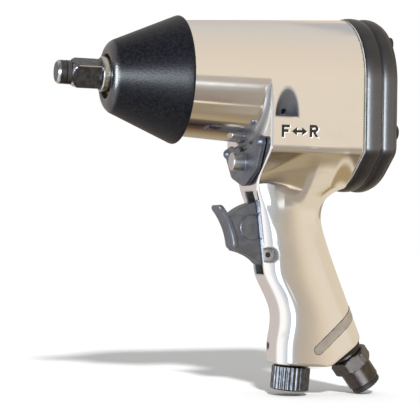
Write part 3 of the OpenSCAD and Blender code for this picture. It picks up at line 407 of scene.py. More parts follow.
# Black strokes, and white as a painted highlight on their edges that makes them look struck
stamped = finish("stamped mark, filled black", Base_Color=paint("#1c1b1d"), Roughness=0.5)[0]
stamp_highlight = finish("aluminium, upset by the stamp", Base_Color=paint("#f4f1ec"), Roughness=0.5)[0]
print("finishes made:", len(bpy.data.materials))

# %% [markdown]
# ## Worn rubber
# The boot's front edge is rubbed smooth by use, so it alone shows a clear line of light. The
# attribute burnish on the boot's mesh says where that is.

# %% Worn rubber
tree = rubber.node_tree
burnish = add(tree, "Attribute", {"attribute_name": "burnish"}).outputs["Fac"]
plug(tree.nodes["Principled BSDF"], Roughness=spread(burnish, 0.34, 0.2),
     Specular_IOR_Level=spread(burnish, 0.2, 1.0))
print(rubber.name, "has", len(tree.nodes), "nodes")

# %% [markdown]
# ## Painting the CAD nodes
# Every CAD node takes the finish of its slot in the record, but the cover's screws, the friction
# ring and the keeper pin are darker.

# %% Painting the CAD nodes
FINISH_OF = {
    "polished_aluminium": polished, "black_rubber": rubber, "black_casting": black_coat,
    "dark_steel": black_oxide, "hardened_steel": gun_metal, "ground_steel": ground,
    "grey_casting": cast_grey, "motor_iron": motor_iron, "bronze": bronze,
    "seal_rubber": seal, "vane_resin": resin, "gasket_paper": paper}
FINISH_AT = {"rear_cover_screws": black_coat, "friction_ring": motor_iron, "regulator_pin": black_coat}
slot_of = {row["node"]: row["material_slot"] for row in frame["record"]["subparts"]}
for name, obj in nodes.items():
    obj.data.materials.clear()
    obj.data.materials.append(FINISH_AT.get(name, FINISH_OF[slot_of[name]]))
print("CAD nodes painted:", len(nodes))

# %% [markdown]
# ## The housing's outside
# The housing is one casting: a round barrel that widens to the rear, a flat-sided box under it
# with a sloping belly, and a handle that leans back. The barrel's arch runs straight down into
# the box's sides. Ahead of the box, the barrel's underside sweeps into the box's front face.

# %% Housing values
X_RIM, X_BOX, X_REAR = 42.5, 85.2, 138.0
BARREL_FRONT, BARREL_GROWTH = 31.2, 6.0 / 95.5
FLAT_LOW, KEEL_LOW = -38.5, -58.0
BELLY, FRONT_LEAN, BACK_LEAN = np.radians([40.0, 7.0, 22.9])
HANDLE_HALF, HANDLE_CORNER, HANDLE_TOP = 15.5, 11.0, -46.0
WAIST_Z, WAIST_DEPTH, WAIST_ROUND = -73.0, 42.4, 20.0
FOOT_DEPTH = 17.3
SLOT_TOP, SLOT_LOW, SLOT_BACK, SLOT_HALF = -60.6, -105.5, 105.0, 6.0
PIN_X, PIN_Z = 94.4, -94.9
BOTTOM_X, BOTTOM_Z, BOTTOM_TILT = 113.0, -155.6, np.radians(2.4)
INLET_AT = np.array([143.6, 0.0, -146.5])
INLET_LEAN = np.radians(36.5)
INLET_OUT = np.array([np.sin(INLET_LEAN), 0.0, -np.cos(INLET_LEAN)])
REGULATOR_TILT = np.radians(4.4)
REGULATOR_UP = np.array([np.sin(REGULATOR_TILT), 0.0, np.cos(REGULATOR_TILT)])
REVERSE_Z, STEM_X, STEM_Z = -44.2, 114.3, -76.0
HAMMER_BORE, MOTOR_BORE, BORE_STEP = 24.0, 27.03, 62.0


def barrel_radius(x):
    """Straight taper from the boot's rim to the rear joint."""
    return BARREL_FRONT + BARREL_GROWTH * (x - X_RIM)


def joint_section(y, z, r, corner):
    """Arch of radius r above, flat sides below, then a belly of two slopes and a round keel."""
    side = np.where(z >= 0, np.hypot(y, z), np.abs(y)) - r
    slope = (np.abs(y) - r) * np.sin(BELLY) + (FLAT_LOW - z) * np.cos(BELLY)
    apex = FLAT_LOW - r * np.tan(BELLY)
    keel = (KEEL_LOW - apex) / (1.0 / np.cos(BELLY) - 1.0)
    middle = KEEL_LOW + keel
    round_keel = np.hypot(y, z - middle) - keel
    low = np.where(np.abs(y) < np.tan(BELLY) * (middle - z), round_keel, slope)
    return trim(side, low, corner)


def handle_front(z):
    """A line that leans back, turns upright below the trigger and comes forward at the foot."""
    line = X_BOX + 2.0 * ease((-z - 56.0) / 14.0) + (-z + SLOT_TOP) * np.tan(FRONT_LEAN)
    line = line + (X_BOX + FOOT_DEPTH - line) * ease((-z - 103.0) / 27.0)
    return line - 1.7 * ease((-z - 131.0) / 15.0)


def handle_back(z):
    """A round hollow above the waist, and below it a hyperbola that turns into a leaning line."""
    u = WAIST_Z - z
    v = np.clip(-u, 0.0, 19.0)
    lower = np.tan(BACK_LEAN) * (np.sqrt(u * u + 64.0) - 8.0)
    upper = np.minimum(WAIST_ROUND - np.sqrt(WAIST_ROUND * WAIST_ROUND - v * v), 8.0)
    return X_BOX + WAIST_DEPTH + np.where(u > 0, lower, upper)


def handle_field(x, y, z):
    """Rounded rectangle at each height, whose sides curve in and flare out upwards."""
    front, back = handle_front(z), handle_back(z)
    mid, reach = (front + back) / 2.0, (back - front) / 2.0
    along = (x - mid) / reach
    half = HANDLE_HALF + 0.0057 * np.clip(z + 78.0, 0.0, 40.0) ** 2
    low = ease((-z - 62.0) / 26.0)
    corner = HANDLE_CORNER + 2.5 * np.clip(along, -1.0, 1.0)
    corner = corner * (0.25 + 0.75 * np.maximum(low, ease(along)))
    curve = 1.4 * np.minimum(along * along, 1.5)
    curve = curve + 5.0 * (1.0 - low) * np.clip(-along - 0.3, 0.0, 0.8) ** 2
    qx = np.abs(x - mid) - reach + corner
    qy = np.abs(y) + curve - half + corner
    outside = np.hypot(np.maximum(qx, 0.0), np.maximum(qy, 0.0))
    return outside + np.minimum(np.maximum(qx, qy), 0.0) - corner


# %% [markdown]
# ## The housing's openings
# The trigger runs in a slot, its pin sits in a round pocket on each side, and a thumb-shaped
# pocket on the left lets the exhaust out. The wheel can't reach into these or into the bores, so
# their insides stay as cast.


# %% Housing openings
def rod(u, v, r):
    """Distance to a round rod, from the two coordinates across it."""
    return np.hypot(u, v) - r


def out_of_inlet(x, z):
    """How far a point lies out along the inlet's axis."""
    return (x - INLET_AT[0]) * INLET_OUT[0] + (z - INLET_AT[2]) * INLET_OUT[2]


def housing_cuts(x, y, z):
    """For each opening its field, the roundness of its rim, and how raw its inside was left."""
    pocket_x, pocket_floor = X_BOX + 8.6, -20.6
    py, pz = y + barrel_radius(pocket_x) + 0.4, z - pocket_floor
    tilt = np.radians(25.0)
    thumb = rod(x - pocket_x, py * np.cos(tilt) + pz * np.sin(tilt), 6.1)
    reg = (x - BOTTOM_X) * REGULATOR_UP[2] - (z - BOTTOM_Z) * REGULATOR_UP[0]
    reg_up = (x - BOTTOM_X) * REGULATOR_UP[0] + (z - BOTTOM_Z) * REGULATOR_UP[2]
    inlet_side = (x - INLET_AT[0]) * INLET_OUT[2] - (z - INLET_AT[2]) * INLET_OUT[0]
    slot = np.maximum.reduce([x - SLOT_BACK, np.abs(y) - SLOT_HALF, z - SLOT_TOP, SLOT_LOW - z])
    # The trigger's slot, and the pockets at the ends of its pin
    yield slot, 1.0, 0.7
    yield np.maximum(rod(x - PIN_X, z - PIN_Z, 3.85), 8.7 - np.abs(y)), 0.9, 0.6
    # The exhaust's pocket and its hole
    yield np.maximum(thumb, -pz), 1.2, 1.0
    yield np.maximum(rod(x - pocket_x, z - pocket_floor - 2.6, 1.3), y + 25.0), 0.3, 1.0
    # Bores of hammers and motor, reverse valve and throttle
    yield rod(y, z, np.where(x < BORE_STEP, HAMMER_BORE, MOTOR_BORE)), 0.3, 1.0
    yield np.maximum(rod(y, z - REVERSE_Z, 7.53), x - X_BOX - 40.3), 0.3, 1.0
    yield np.maximum(rod(y, z - STEM_Z, 5.83), np.abs(x - STEM_X) - 10.4), 0.3, 1.0
    # Bores of regulator, inlet and keeper pin
    yield np.maximum(rod(reg, y, 6.05), reg_up - 46.0), 0.3, 1.0
    yield np.maximum(rod(inlet_side, y, 8.33), -out_of_inlet(x, z) - 11.0), 0.3, 1.0
    yield np.maximum(rod(y - 5.5, z + 145.6, 1.6), x - 104.5), 0.3, 1.0


# %% [markdown]
# ## The housing's skin
# All of it joins in one field. The skin notes where the wheel couldn't reach, and where the
# sweep under the barrel gets painted shade.


# %% Housing field
def sweep_reach(z):
    """Reach of the sweep ahead of the box: none at the axis, then 4 mm, and 6 mm below."""
    return 4.0 * ease((-z - 1.0) / 8.0) + 2.0 * ease((-z - 12.0) / 14.0)


def unbuffed_and_shaded(x, y, z):
    """One in the openings, where the wheel can't reach, and low in the sweep, where it is painted shade;
    else zero.
    """
    barrel = np.hypot(y, z) - barrel_radius(x)
    gap, reach = X_BOX - x, sweep_reach(z)
    # Painted shade: the crease of the sweep under the barrel gets most of the dull grey
    sweep_shade = ease((reach - np.abs(gap - barrel)) / np.maximum(reach, 1.0))
    sweep_shade = sweep_shade * (gap > 0.25) * (reach > 1.0)
    grey_share = [share * ease((1.0 - hole) / 0.7) for hole, _, share in housing_cuts(x, y, z)]
    return np.maximum.reduce([0.85 * sweep_shade] + grey_share)


def housing_field(x, y, z):
    """Barrel, sweep and box, and the handle below with a fillet that grows to its back and sides."""
    r = barrel_radius(x)
    barrel = np.hypot(y, z) - r
    ahead = fill(X_BOX - x, barrel, sweep_reach(z))
    edge = 1.2 * ease((x - X_BOX + 3.0) / 2.5) * ease((-z - 2.0) / 5.0)
    grip = trim(handle_field(x, y, z), z - HANDLE_TOP, 4.0)
    fillet = 6.0 + 8.0 * ease((np.abs(y) - 7.0) / 7.0)
    fillet = fillet * (0.25 + 0.75 * ease((x - X_BOX - 2.0) / 28.0))
    body = fill(joint_section(y, z, r, 1.7), grip, fillet)
    body = trim(body, ahead, edge)
    bottom = -((x - BOTTOM_X) * np.sin(BOTTOM_TILT) + (z - BOTTOM_Z) * np.cos(BOTTOM_TILT))
    body = trim(trim(body, bottom, 1.8), out_of_inlet(x, z), 1.8)
    rear = np.minimum(x - X_REAR, z + 85.0)
    body = trim(trim(body, rear, 0.9), X_RIM - x, 0.5)
    body = fill(body, np.maximum(rod(y, z, 27.0), np.abs(x - 39.0) - 4.0), 0.01)
    for hole, rim, _ in housing_cuts(x, y, z):
        body = trim(body, -hole, rim)
    return body


skin = skin_of(housing_field, [
    stretches(33.0, (80.0, 1.6), (106.0, 0.62), (136.5, 1.3), (139.5, 0.75), (154.0, 1.1)),
    stretches(-40.0, (40.0, 0.9)),
    stretches(-158.0, (-152.0, 0.7), (-110.0, 1.0), (-56.0, 0.85), (-36.0, 0.7), (0.0, 0.9),
              (40.0, 1.7))])
housing = piece("housing", skin, "housing", polished, ["motor_housing"])
grey_share = unbuffed_and_shaded(*skin[0].T)
note(housing, "as_cast_and_shade", grey_share)
print("as cast:", int((grey_share > 0.5).sum()), "of", len(grey_share), "points")

# %% [markdown]
# ## Panel on the handle
# A long panel with round ends crosses the foot of the handle on the left. It follows the handle's
# skin and stands a little proud of it. Its dark edge is painted shade, as if on the walls of a recess.

# %% Panel
PANEL_ENDS = np.array([[122.7, -146.7], [146.6, -124.6]])
PANEL_HALF, PANEL_PROUD, SHADED_EDGE_WIDE = 2.9, 0.25, 0.42


def panel_outline(x, z):
    """Distance to the outline that lies half a width round the panel's middle line."""
    way = PANEL_ENDS[1] - PANEL_ENDS[0]
    u, v = x - PANEL_ENDS[0, 0], z - PANEL_ENDS[0, 1]
    t = np.clip((u * way[0] + v * way[1]) / (way @ way), 0.0, 1.0)
    return rod(u - t * way[0], v - t * way[1], PANEL_HALF)


def panel_field(x, y, z):
    """Inside the outline and within the panel's height of the housing's skin."""
    return trim(panel_outline(x, z), np.abs(housing_field(x, y, z)) - PANEL_PROUD, 0.5)


skin = skin_of(panel_field, [
    stretches(118.0, (151.0, 0.36)), stretches(-17.0, (-2.0, 0.25)),
    stretches(-151.0, (-120.0, 0.36))])
panel = piece("handle_panel", skin, "housing", satin_cast)
x, y, z = places(panel.data.polygons, "center").T
# Painted shade: a dark band round the panel's edge, in the phosphated steel finish
second_finish(panel, gun_metal, panel_outline(x, z) > -SHADED_EDGE_WIDE)

# %% [markdown]
# ## Nose boot
# The boot's profile is carried round the drive axis. Its front edge is rolled over with a large
# radius and burnished, and its rear rim ends in a small lip.

# %% Boot
ROUND = full_turn(160)
BOOT_FRONT, BOOT_FRONT_R, BOOT_RISE, BOOT_LONG = 3.0, 18.1, 17.1, 39.5
ROLL_R, BURNISH_END, BURNISH_FADE = 7.0, 6.2, 1.6
boot_slope = np.degrees(np.arctan(BOOT_RISE / BOOT_LONG))


def boot_radius(x):
    """Cone from the front plane to the rim."""
    return BOOT_FRONT_R + BOOT_RISE * (x - BOOT_FRONT) / BOOT_LONG


def arc(cx, cr, r, a0, a1, n):
    """Points of an arc in the plane of the axis, from angle a0 to a1 in degrees."""
    a = np.radians(np.linspace(a0, a1, n))
    return np.stack([cx + r * np.cos(a), cr + r * np.sin(a)], axis=1)


edge_turn = 90.0 - boot_slope
edge_start = BOOT_FRONT_R - ROLL_R * np.tan(np.radians(edge_turn / 2.0))
cone = np.linspace(9.0, 41.0, 12)
boot_profile = np.concatenate([
    [[5.6, 11.9], [4.2, 11.9]], arc(3.8, 12.7, 0.8, 270, 180, 5),
    arc(BOOT_FRONT + ROLL_R, edge_start, ROLL_R, 180, 180 - edge_turn, 14),
    np.stack([cone, boot_radius(cone)], axis=1),
    arc(41.7, boot_radius(41.5) - 0.85, 0.8, 90 + boot_slope, 0, 6),
    [[42.5, 32.1], [10.0, boot_radius(10.0) - 3.2], [5.6, boot_radius(10.0) - 7.6], [5.6, 11.9]]])
skin = turned(boot_profile, ROUND, (0, 0, -1.0), (1, 0, 0), (0, 1, 0))
boot = piece("rubber_boot", skin, "housing", rubber, ["nose_boot"])
x, y, z = places(boot.data.vertices, "co").T
note(boot, "burnish", ease((BURNISH_END - x) / BURNISH_FADE))

# %% [markdown]
# ## Anvil
# The anvil is one bar of steel: a round nose, the square that drives the socket, a journal, and
# inside the tool a shoulder, two jaws and a stub. One grid makes it all. A limit on the radius
# rounds the square's corners.

# %% Anvil
TURN = np.radians(26.0)
FLAT_R, CORNER_R, JAW_HALF = 6.35, 8.7, 22.0
corner_at = np.degrees(np.arccos(FLAT_R / CORNER_R))
quarter = np.concatenate([
    np.linspace(0, corner_at, 9)[:-1], np.linspace(corner_at, 90 - corner_at, 4),
    np.linspace(90 - corner_at, 90, 9)[1:-1]])
ANVIL_ROUND = np.radians((quarter[None, :] + 90.0 * np.arange(4)[:, None]).ravel())
flat_angle = np.abs((np.degrees(ANVIL_ROUND) + 45.0) % 90.0 - 45.0)
square = np.minimum(FLAT_R / np.cos(np.radians(flat_angle)), CORNER_R)
jaw_angle = np.abs(np.degrees(ANVIL_ROUND + TURN) % 180.0 - 90.0)
jaws = np.where(jaw_angle < JAW_HALF, 10.6, 7.0)
anvil_rows = [
    (-24.0, 0.0), (-24.0, 4.9), (-23.8, 5.3), (-22.8, 6.15), (-22.3, 6.3), (-19.1, 6.3), (-18.9, 6.1),
    (-18.9, 4.4), (-16.3, 4.4), (-16.3, 6.2), (-16.0, 6.3), (-16.0, np.minimum(square, 6.5)),
    (-15.2, np.minimum(square, 7.4)), (-14.2, np.minimum(square, 8.1)), (-13.2, square), (-1.6, square),
    (-0.7, np.minimum(np.maximum(square, 6.9), 8.6)), (0.0, 8.6), (0.0, 8.75), (0.5, 9.3), (0.9, 9.4),
    (27.2, 9.4), (27.2, 11.55), (35.2, 11.55), (35.2, jaws), (55.2, jaws), (55.2, 5.0), (58.5, 5.0),
    (58.5, 0.0)]
skin = turned(anvil_rows, ANVIL_ROUND + TURN, (0, 0, 0), (1, 0, 0), (0, 1, 0))
drive = piece("square_drive", skin, "anvil", gun_metal, ["anvil"], crease=25.0)

# %% [markdown]
# ## Wear on the anvil
# Sockets rub the square's corners and the nose's front edge bright, and the journal is ground.

# %% Wear on the anvil
x, y, z = places(drive.data.polygons, "center").T
rim = np.interp(x, [-16.0, -15.2, -14.2, -13.2, -1.6, -0.7], [6.45, 7.3, 8.0, 8.5, 8.5, 8.2])
corners = (x > -15.9) & (x < -0.8) & (np.hypot(y, z) > rim)
front_edge = (x > -23.6) & (x < -22.3)
worn = corners | front_edge | (x > 0.1)
second_finish(drive, ground, worn)
print("worn faces:", int(worn.sum()), "of", len(worn))

# %% [markdown]
# ## Rear cover
# The cover closes the motor. Its outline is the housing's rear joint, grown by a broad and a
# narrower rib, and its back edge is rounded over. A spigot inside holds the motor.

# %% Rear cover
RIB_EDGES = [138.5, 148.3, 156.0]
COVER_FRONT, COVER_BACK, SPIGOT_R, HOLLOW_R = 138.55, 158.0, 26.97, 22.5


def cover_field(x, y, z):
    """Joint outline grown by half-ellipse ribs, closed by a rounded back, with a hollow spigot."""
    start, end = (np.where(x < RIB_EDGES[1], *RIB_EDGES[i:i + 2]) for i in range(2))
    across = np.clip(2.0 * (x - start) / (end - start) - 1.0, -1.0, 1.0)
    grown = -0.35 + 1.55 * np.sqrt(1.0 - 0.97 * across * across)
    shell = joint_section(y, z, barrel_radius(X_REAR), 2.6) - grown
    shell = trim(trim(shell, x - COVER_BACK, 2.2), COVER_FRONT - x, 0.5)
    spigot = np.maximum(rod(y, z, SPIGOT_R), np.abs(x - 130.5) - 8.5)
    return trim(np.minimum(shell, spigot), -np.maximum(rod(y, z, HOLLOW_R), x - 148.5), 0.3)


skin = skin_of(cover_field, [
    stretches(121.0, (137.5, 1.5), (159.5, 0.45)), stretches(-40.0, (40.0, 1.0)),
    stretches(-61.0, (40.0, 1.0))])
piece("ribbed_cover", skin, "housing", black_coat, ["rear_cover"])

# %% [markdown]
# ## Reverse lever
# The lever is a thin grey casting: a shield that follows the box's belly, with an ear to each
# side for the thumb, an arch cut out for the barrel, and a round knob in the middle.

# %% Reverse lever
LEVER_TURN, EAR_RISE = np.radians([5.0, 17.0])
SHIELD, CHEEK = np.array([0.0, 0.8]), np.array([15.2, -1.9])
EAR = 26.5 * np.array([np.cos(EAR_RISE), np.sin(EAR_RISE)])
LEVER_ROUNDS = [(SHIELD, 14.0), (CHEEK, 6.0), (EAR, 3.0)]
KNOB_R, KNOB_BACK = 5.05, 81.6


def tapered(u, v, a, ra, b, rb):
    """Distance to the hull of two circles, a with radius ra and b with radius rb."""
    way = b - a
    length = np.hypot(*way)
    way = way / length
    s = (u - a[0]) * way[0] + (v - a[1]) * way[1]
    q = np.abs((v - a[1]) * way[0] - (u - a[0]) * way[1])
    lean = (ra - rb) / length
    rise = np.sqrt(1.0 - lean * lean)
    k = q * -lean + s * rise
    near = np.hypot(q, s) - ra
    far = np.hypot(q, s - length) - rb
    return np.where(k < 0, near, np.where(k > rise * length, far, q * rise + s * lean - ra))


def lever_field(x, y, z):
    """Plate between x 82.2 and 84.9 with the lever's outline, a dome on each ear, and the knob."""
    w = z - REVERSE_Z
    u = y * np.cos(LEVER_TURN) - w * np.sin(LEVER_TURN)
    v = y * np.sin(LEVER_TURN) + w * np.cos(LEVER_TURN)
    outline = np.minimum.reduce([
        tapered(np.abs(u), v, *LEVER_ROUNDS[i], *LEVER_ROUNDS[j]) for i, j in ((0, 1), (1, 2), (0, 2))])
    outline = trim(outline, 38.2 - np.hypot(u, v - 44.2), 0.6)
    outline = fill(outline, rod(np.abs(u) - 8.5, v - 6.8, 2.8), 0.6)
    plate = trim(outline, np.abs(x - 83.55) - 1.35, 0.9)
    ball = np.sqrt((np.abs(u) - EAR[0]) ** 2 + (v - EAR[1]) ** 2 + (x - 83.2) ** 2) - 2.9
    plate = fill(plate, trim(ball, x - 84.9, 0.3), 0.4)
    knob = trim(rod(u, v, KNOB_R), np.abs(x - 79.6) - 4.4, 1.0)
    return fill(plate, knob, 0.8)


skin = skin_of(lever_field, [
    stretches(low, (high, 0.34)) for low, high in ((74.0, 86.0), (-31.0, 31.0), (-60.0, -30.0))])
lever = piece("thumb_lever", skin, "reverse", cast_grey, ["reverse_lever"])
x, y, z = places(lever.data.polygons, "center").T
second_finish(lever, satin_cast, (x < KNOB_BACK) & (rod(y, z - REVERSE_Z, KNOB_R) < 0.25))

# %% [markdown]
# ## Trigger
# The trigger is a hollow finger paddle on a web. The web is a sector about the pin, so its top
# edge stays in the slot as it swings. A shallow ring on each side is the mark of a mould's pin.

# %% Trigger
PADDLE_X, PADDLE_R, PADDLE_HALF = 37.2, 39.6, 6.75
WEB_R, WEB_HALF, RING_R = 29.6, 5.7, 7.0


def trigger_field(x, y, z):
    """Paddle as a bent strip about its own centre, and a flat web out to the pin."""
    u, v = x - PADDLE_X, z - PIN_Z
    rho, turn = np.hypot(u, v), np.arctan2(v, u)
    ends = np.maximum(turn - np.radians(42.2), np.radians(4.0) - turn) * rho
    paddle = trim(trim(np.abs(rho - PADDLE_R) - 1.6, ends, 2.6), np.abs(y) - PADDLE_HALF, 1.6)
    about = np.hypot(x - PIN_X, v)
    low = np.array([14.75, -6.95]) / np.hypot(14.75, -6.95)
    under = (x - 76.65) * low[1] - (z + 93.05) * low[0]
    under = np.maximum(under, 28.3 - np.hypot(x - 72.5, z + 121.0))
    web = trim(about - WEB_R, PADDLE_R - rho, 0.5)
    web = trim(trim(web, x - 98.2, 0.5), under, 0.5)
    web = fill(web, about - 6.0, 0.5)
    ring = np.abs(np.hypot(x - 86.2, z + 80.1) - RING_R)
    groove = 0.28 * ease(1.0 - ring / 0.55)
    web = trim(web, np.abs(y) - WEB_HALF + groove, 0.5)
    return fill(web, paddle, 0.7)


skin = skin_of(trigger_field, [
    stretches(low, (high, 0.36)) for low, high in ((64.0, 101.0), (-8.0, 8.0), (-103.0, -63.0))])
piece("finger_trigger", skin, "trigger", cast_grey, ["trigger"])

# %% [markdown]
# ## Trigger pin
# The pin is as long as its CAD node and has a chamfer at each end. Its black is painted shade, so
# it reads dark in its pocket.

# %% Trigger pin
CHAMFER = 0.2
low, high = (np.array(corner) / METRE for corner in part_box("trigger_pin"))
pin_r, pin_end = (high[0] - low[0]) / 2.0, high[1]
pin_rows = np.array([(pin_end, 0.0), (pin_end, pin_r - CHAMFER), (pin_end - CHAMFER, pin_r)])
pin_rows = np.concatenate([pin_rows * (-1.0, 1.0), pin_rows[::-1]])
skin = turned(pin_rows, full_turn(48), (PIN_X, 0, PIN_Z), (0, 1, 0), (1, 0, 0))
# The pin's black is painted shade for the pocket round it
piece("pivot_pin", skin, "housing", black_coat, ["trigger_pin"])

# %% [markdown]
# ## Air regulator
# The knob under the handle has straight knurling, so its radius dips in 26 grooves. Its stem goes
# up into the handle, with a groove for a sealing ring and a wider one for the keeper pin.

# %% Regulator
GROOVES = 26
KNURL_ROUND = full_turn(GROOVES * 12)
knurl = 10.7 - 0.55 * np.abs(np.cos(GROOVES / 2.0 * KNURL_ROUND)) ** 3
knob_rows = [
    (-14.37, 0.0), (-14.37, 9.2), (-14.2, 9.6), (-13.6, knurl), (-1.5, knurl), (-0.9, 9.7), (-0.67, 9.2),
    (-0.67, 6.0), (6.9, 6.0), (6.9, 3.7), (13.1, 3.7), (13.1, 6.0), (18.9, 6.0), (18.9, 4.0), (21.1, 4.0),
    (21.1, 6.0), (44.0, 6.0), (44.0, 4.0), (27.0, 4.0), (27.0, 0.0)]
skin = turned(knob_rows, KNURL_ROUND, (BOTTOM_X, 0, BOTTOM_Z), REGULATOR_UP,
              (REGULATOR_UP[2], 0, -REGULATOR_UP[0]))
piece("knurled_knob", skin, "regulator", gun_metal, ["regulator"])

# %% [markdown]
# ## Air inlet
# The inlet bushing is a hexagon with a round body and a black lip, screwed in over a seal. The bore
# at its mouth has the hose fitting's thread, a fine helix.

# %% Inlet bushing and seal
HEX_TURN = np.radians(9.0)
INLET_SIDE = np.array([-np.cos(INLET_LEAN) * np.cos(HEX_TURN), np.sin(HEX_TURN),
                       -np.sin(INLET_LEAN) * np.cos(HEX_TURN)])
THREAD_PITCH, THREAD_R, THREAD_DEPTH, LIP_START = 1.34, 5.73, 0.35, 23.0
sixth = np.linspace(-30.0, 30.0, 17)[:-1]
HEX_ROUND = np.radians((sixth[None, :] + 60.0 * np.arange(6)[:, None] + 30.0).ravel())
hexagon = 10.0 / np.cos(np.radians(np.abs(np.degrees(HEX_ROUND) % 60.0 - 30.0)))
thread_s = np.linspace(26.0, 12.6, 120)
winding = (thread_s[:, None] / THREAD_PITCH + HEX_ROUND / (2 * np.pi)) % 1.0
helix = THREAD_R + THREAD_DEPTH * np.abs(winding * 2.0 - 1.0)
inlet_rows = [
    (-10.7, 5.0), (-10.7, 7.9), (-10.2, 8.3), (5.1, 8.3), (5.1, 9.6), (5.2, np.minimum(hexagon, 10.05)),
    (5.7, np.minimum(hexagon, 10.7)), (6.4, hexagon), (11.9, hexagon), (12.6, np.minimum(hexagon, 10.9)),
    (13.1, np.minimum(hexagon, 10.1)), (13.1, 9.1), (22.6, 9.1), (23.2, 8.8), (23.2, 8.3), (24.0, 8.3),
    (24.1, 8.5), (25.8, 8.5), (26.25, 8.25), (26.4, 7.8), (26.4, 6.7), (26.0, 6.1),
    *zip(thread_s, helix), (12.4, THREAD_R), (12.4, 5.0), (-10.7, 5.0)]
skin = turned(inlet_rows, HEX_ROUND, INLET_AT, INLET_OUT, INLET_SIDE)
fitting = piece("inlet_fitting", skin, "housing", black_oxide, ["inlet_bushing"],
                crease=20.0)
x, y, z = places(fitting.data.polygons, "center").T
# The bushing's end past the lip's start is made black with the seal's finish
second_finish(fitting, seal, out_of_inlet(x, z) > LIP_START)

seal_rows = np.concatenate([
    [[0.1, 8.35]], arc(1.1, 8.85, 1.0, 180, 90, 7), arc(2.5, 8.85, 1.0, 90, 0, 7),
    [[3.5, 8.35], [0.1, 8.35]]])
skin = turned(seal_rows, ROUND, INLET_AT, INLET_OUT, INLET_SIDE)
piece("inlet_washer", skin, "housing", seal, ["inlet_seal"])

# %% [markdown]
# ## Direction marks
# Two letters and a double arrow are stamped on the left side, to tell forward from reverse. They
# are flat strips just proud of the side. A pale strip to the right of each mark and below it is a
# painted highlight on the stamp's edge.

# %% Direction marks
MARK_PROUD, HIGHLIGHT_RIGHT, HIGHLIGHT_DOWN = 0.03, 0.4, 0.3


def bar(x0, z0, x1, z1):
    """Corners of an upright rectangle."""
    return [(x0, z0), (x1, z0), (x1, z1), (x0, z1)]


def marks():
    """Outlines of the marks in the plane of X and Z: convex, and counter-clockwise from the left."""
    h, s = 6.6, 1.5
    forward = [bar(0.0, 0.0, s, h), bar(s, h - s, 4.6, h), bar(s, 2.7, 3.9, 2.7 + s)]
    reverse = [bar(0.0, 0.0, s, h),
               [(s, h - s), (3.6, h - s), (4.3, h - 0.6), (3.4, h), (s, h)],
               [(s, 2.5), (3.4, 2.5), (4.3, 3.1), (3.6, 2.5 + s), (s, 2.5 + s)],
               [(3.4, 3.4), (4.3, 3.1), (4.9, 4.0), (4.9, 5.2), (4.3, h - 0.6), (3.4, h - 1.4)],
               [(1.9, 2.6), (3.6, 0.0), (5.2, 0.0), (3.5, 2.6)]]
    arrow = [[(-4.3, 0.0), (-1.4, -2.2), (-1.4, 2.2)], [(4.3, 0.0), (1.4, 2.2), (1.4, -2.2)],
             bar(-1.9, -0.7, 1.9, 0.7)]
    for at, shapes in (((90.9, -32.0), forward), ((106.6, -31.6), reverse), ((100.9, -28.7), arrow)):
        for shape in shapes:
            yield np.array(shape) + at


mark_points, mark_faces, mark_finish = [], [], []
# The second layer is a white painted highlight, to the right of and below each mark
for highlight_layer, proud in ((0, MARK_PROUD), (1, 0.5 * MARK_PROUD)):
    for outline in marks():
        x, z = (outline + (HIGHLIGHT_RIGHT * highlight_layer, -HIGHLIGHT_DOWN * highlight_layer)).T
        mark_faces.append(list(range(len(mark_points), len(mark_points) + len(outline))))
        mark_points += np.stack([x, -barrel_radius(x) - proud, z], axis=1).tolist()
        mark_finish.append(highlight_layer)
mesh = bpy.data.meshes.new("direction_marks")
mesh.from_pydata((np.array(mark_points) * METRE).tolist(), [], mark_faces)
mesh.materials.append(stamped)
mark_obj = show("direction_marks", mesh)
second_finish(mark_obj, stamp_highlight, mark_finish)
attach(mark_obj, "housing")
print("direction marks:", len(mark_faces), "strips")

# %% [markdown]
# ## Studio
# A mirror shows its room, so the room matters more than the lamps. Three angles of a ray say what
# it meets: its tip goes from ahead over the top, its swing from ahead to the side, and its height
# is counted from the horizon.

# %% Angles of a ray
DEGREE = np.pi / 180.0
world = bpy.data.worlds.new("studio")
bpy.context.scene.world = world
world.use_nodes = True
tree = world.node_tree
tree.nodes.clear()


def calc(operation, *values):
    """Output of a sum on numbers or sockets."""
    inputs = {f"_{i}": value for i, value in enumerate(values)}
    return add(tree, "Math", {"operation": operation}, **inputs).outputs[0]


def window(value, start, stop):
    """Rises smoothly from 0 at start to 1 at stop."""
    return add(tree, "MapRange", {"interpolation_type": "SMOOTHSTEP"},
               _0=value, _1=start, _2=stop).outputs[0]


ray = add(tree, "TexCoord").outputs["Generated"]
side, depth, rise = add(tree, "SeparateXYZ", Vector=ray).outputs
ahead = calc("MULTIPLY", depth, -1.0)
tip, swing = (spread(calc("ARCTAN2", part, ahead), 0.0, 1.0, -np.pi, np.pi) for part in (rise, side))
height = calc("ARCSINE", rise)


def above(start, stop):
    """Opens as the height over the horizon goes from start to stop, in degrees."""
    return window(height, start * DEGREE, stop * DEGREE)


print("ray nodes:", len(tree.nodes))

# %% [markdown]
# ## Tones of the room
# With the tip, the room is brown below with one bright line, has a white strip under eye level and
# is cream above. Near the horizon its tones go with the swing: white at the tool's nose, grey ahead
# and cream behind. Low down, clutter bends their edges.


# %% Tones of the room
def dial(*stops):
    """Stops of a ramp round a full turn, given in degrees from -180 to 180."""
    return [((degrees + 180.0) / 360.0, code) for degrees, code in stops]


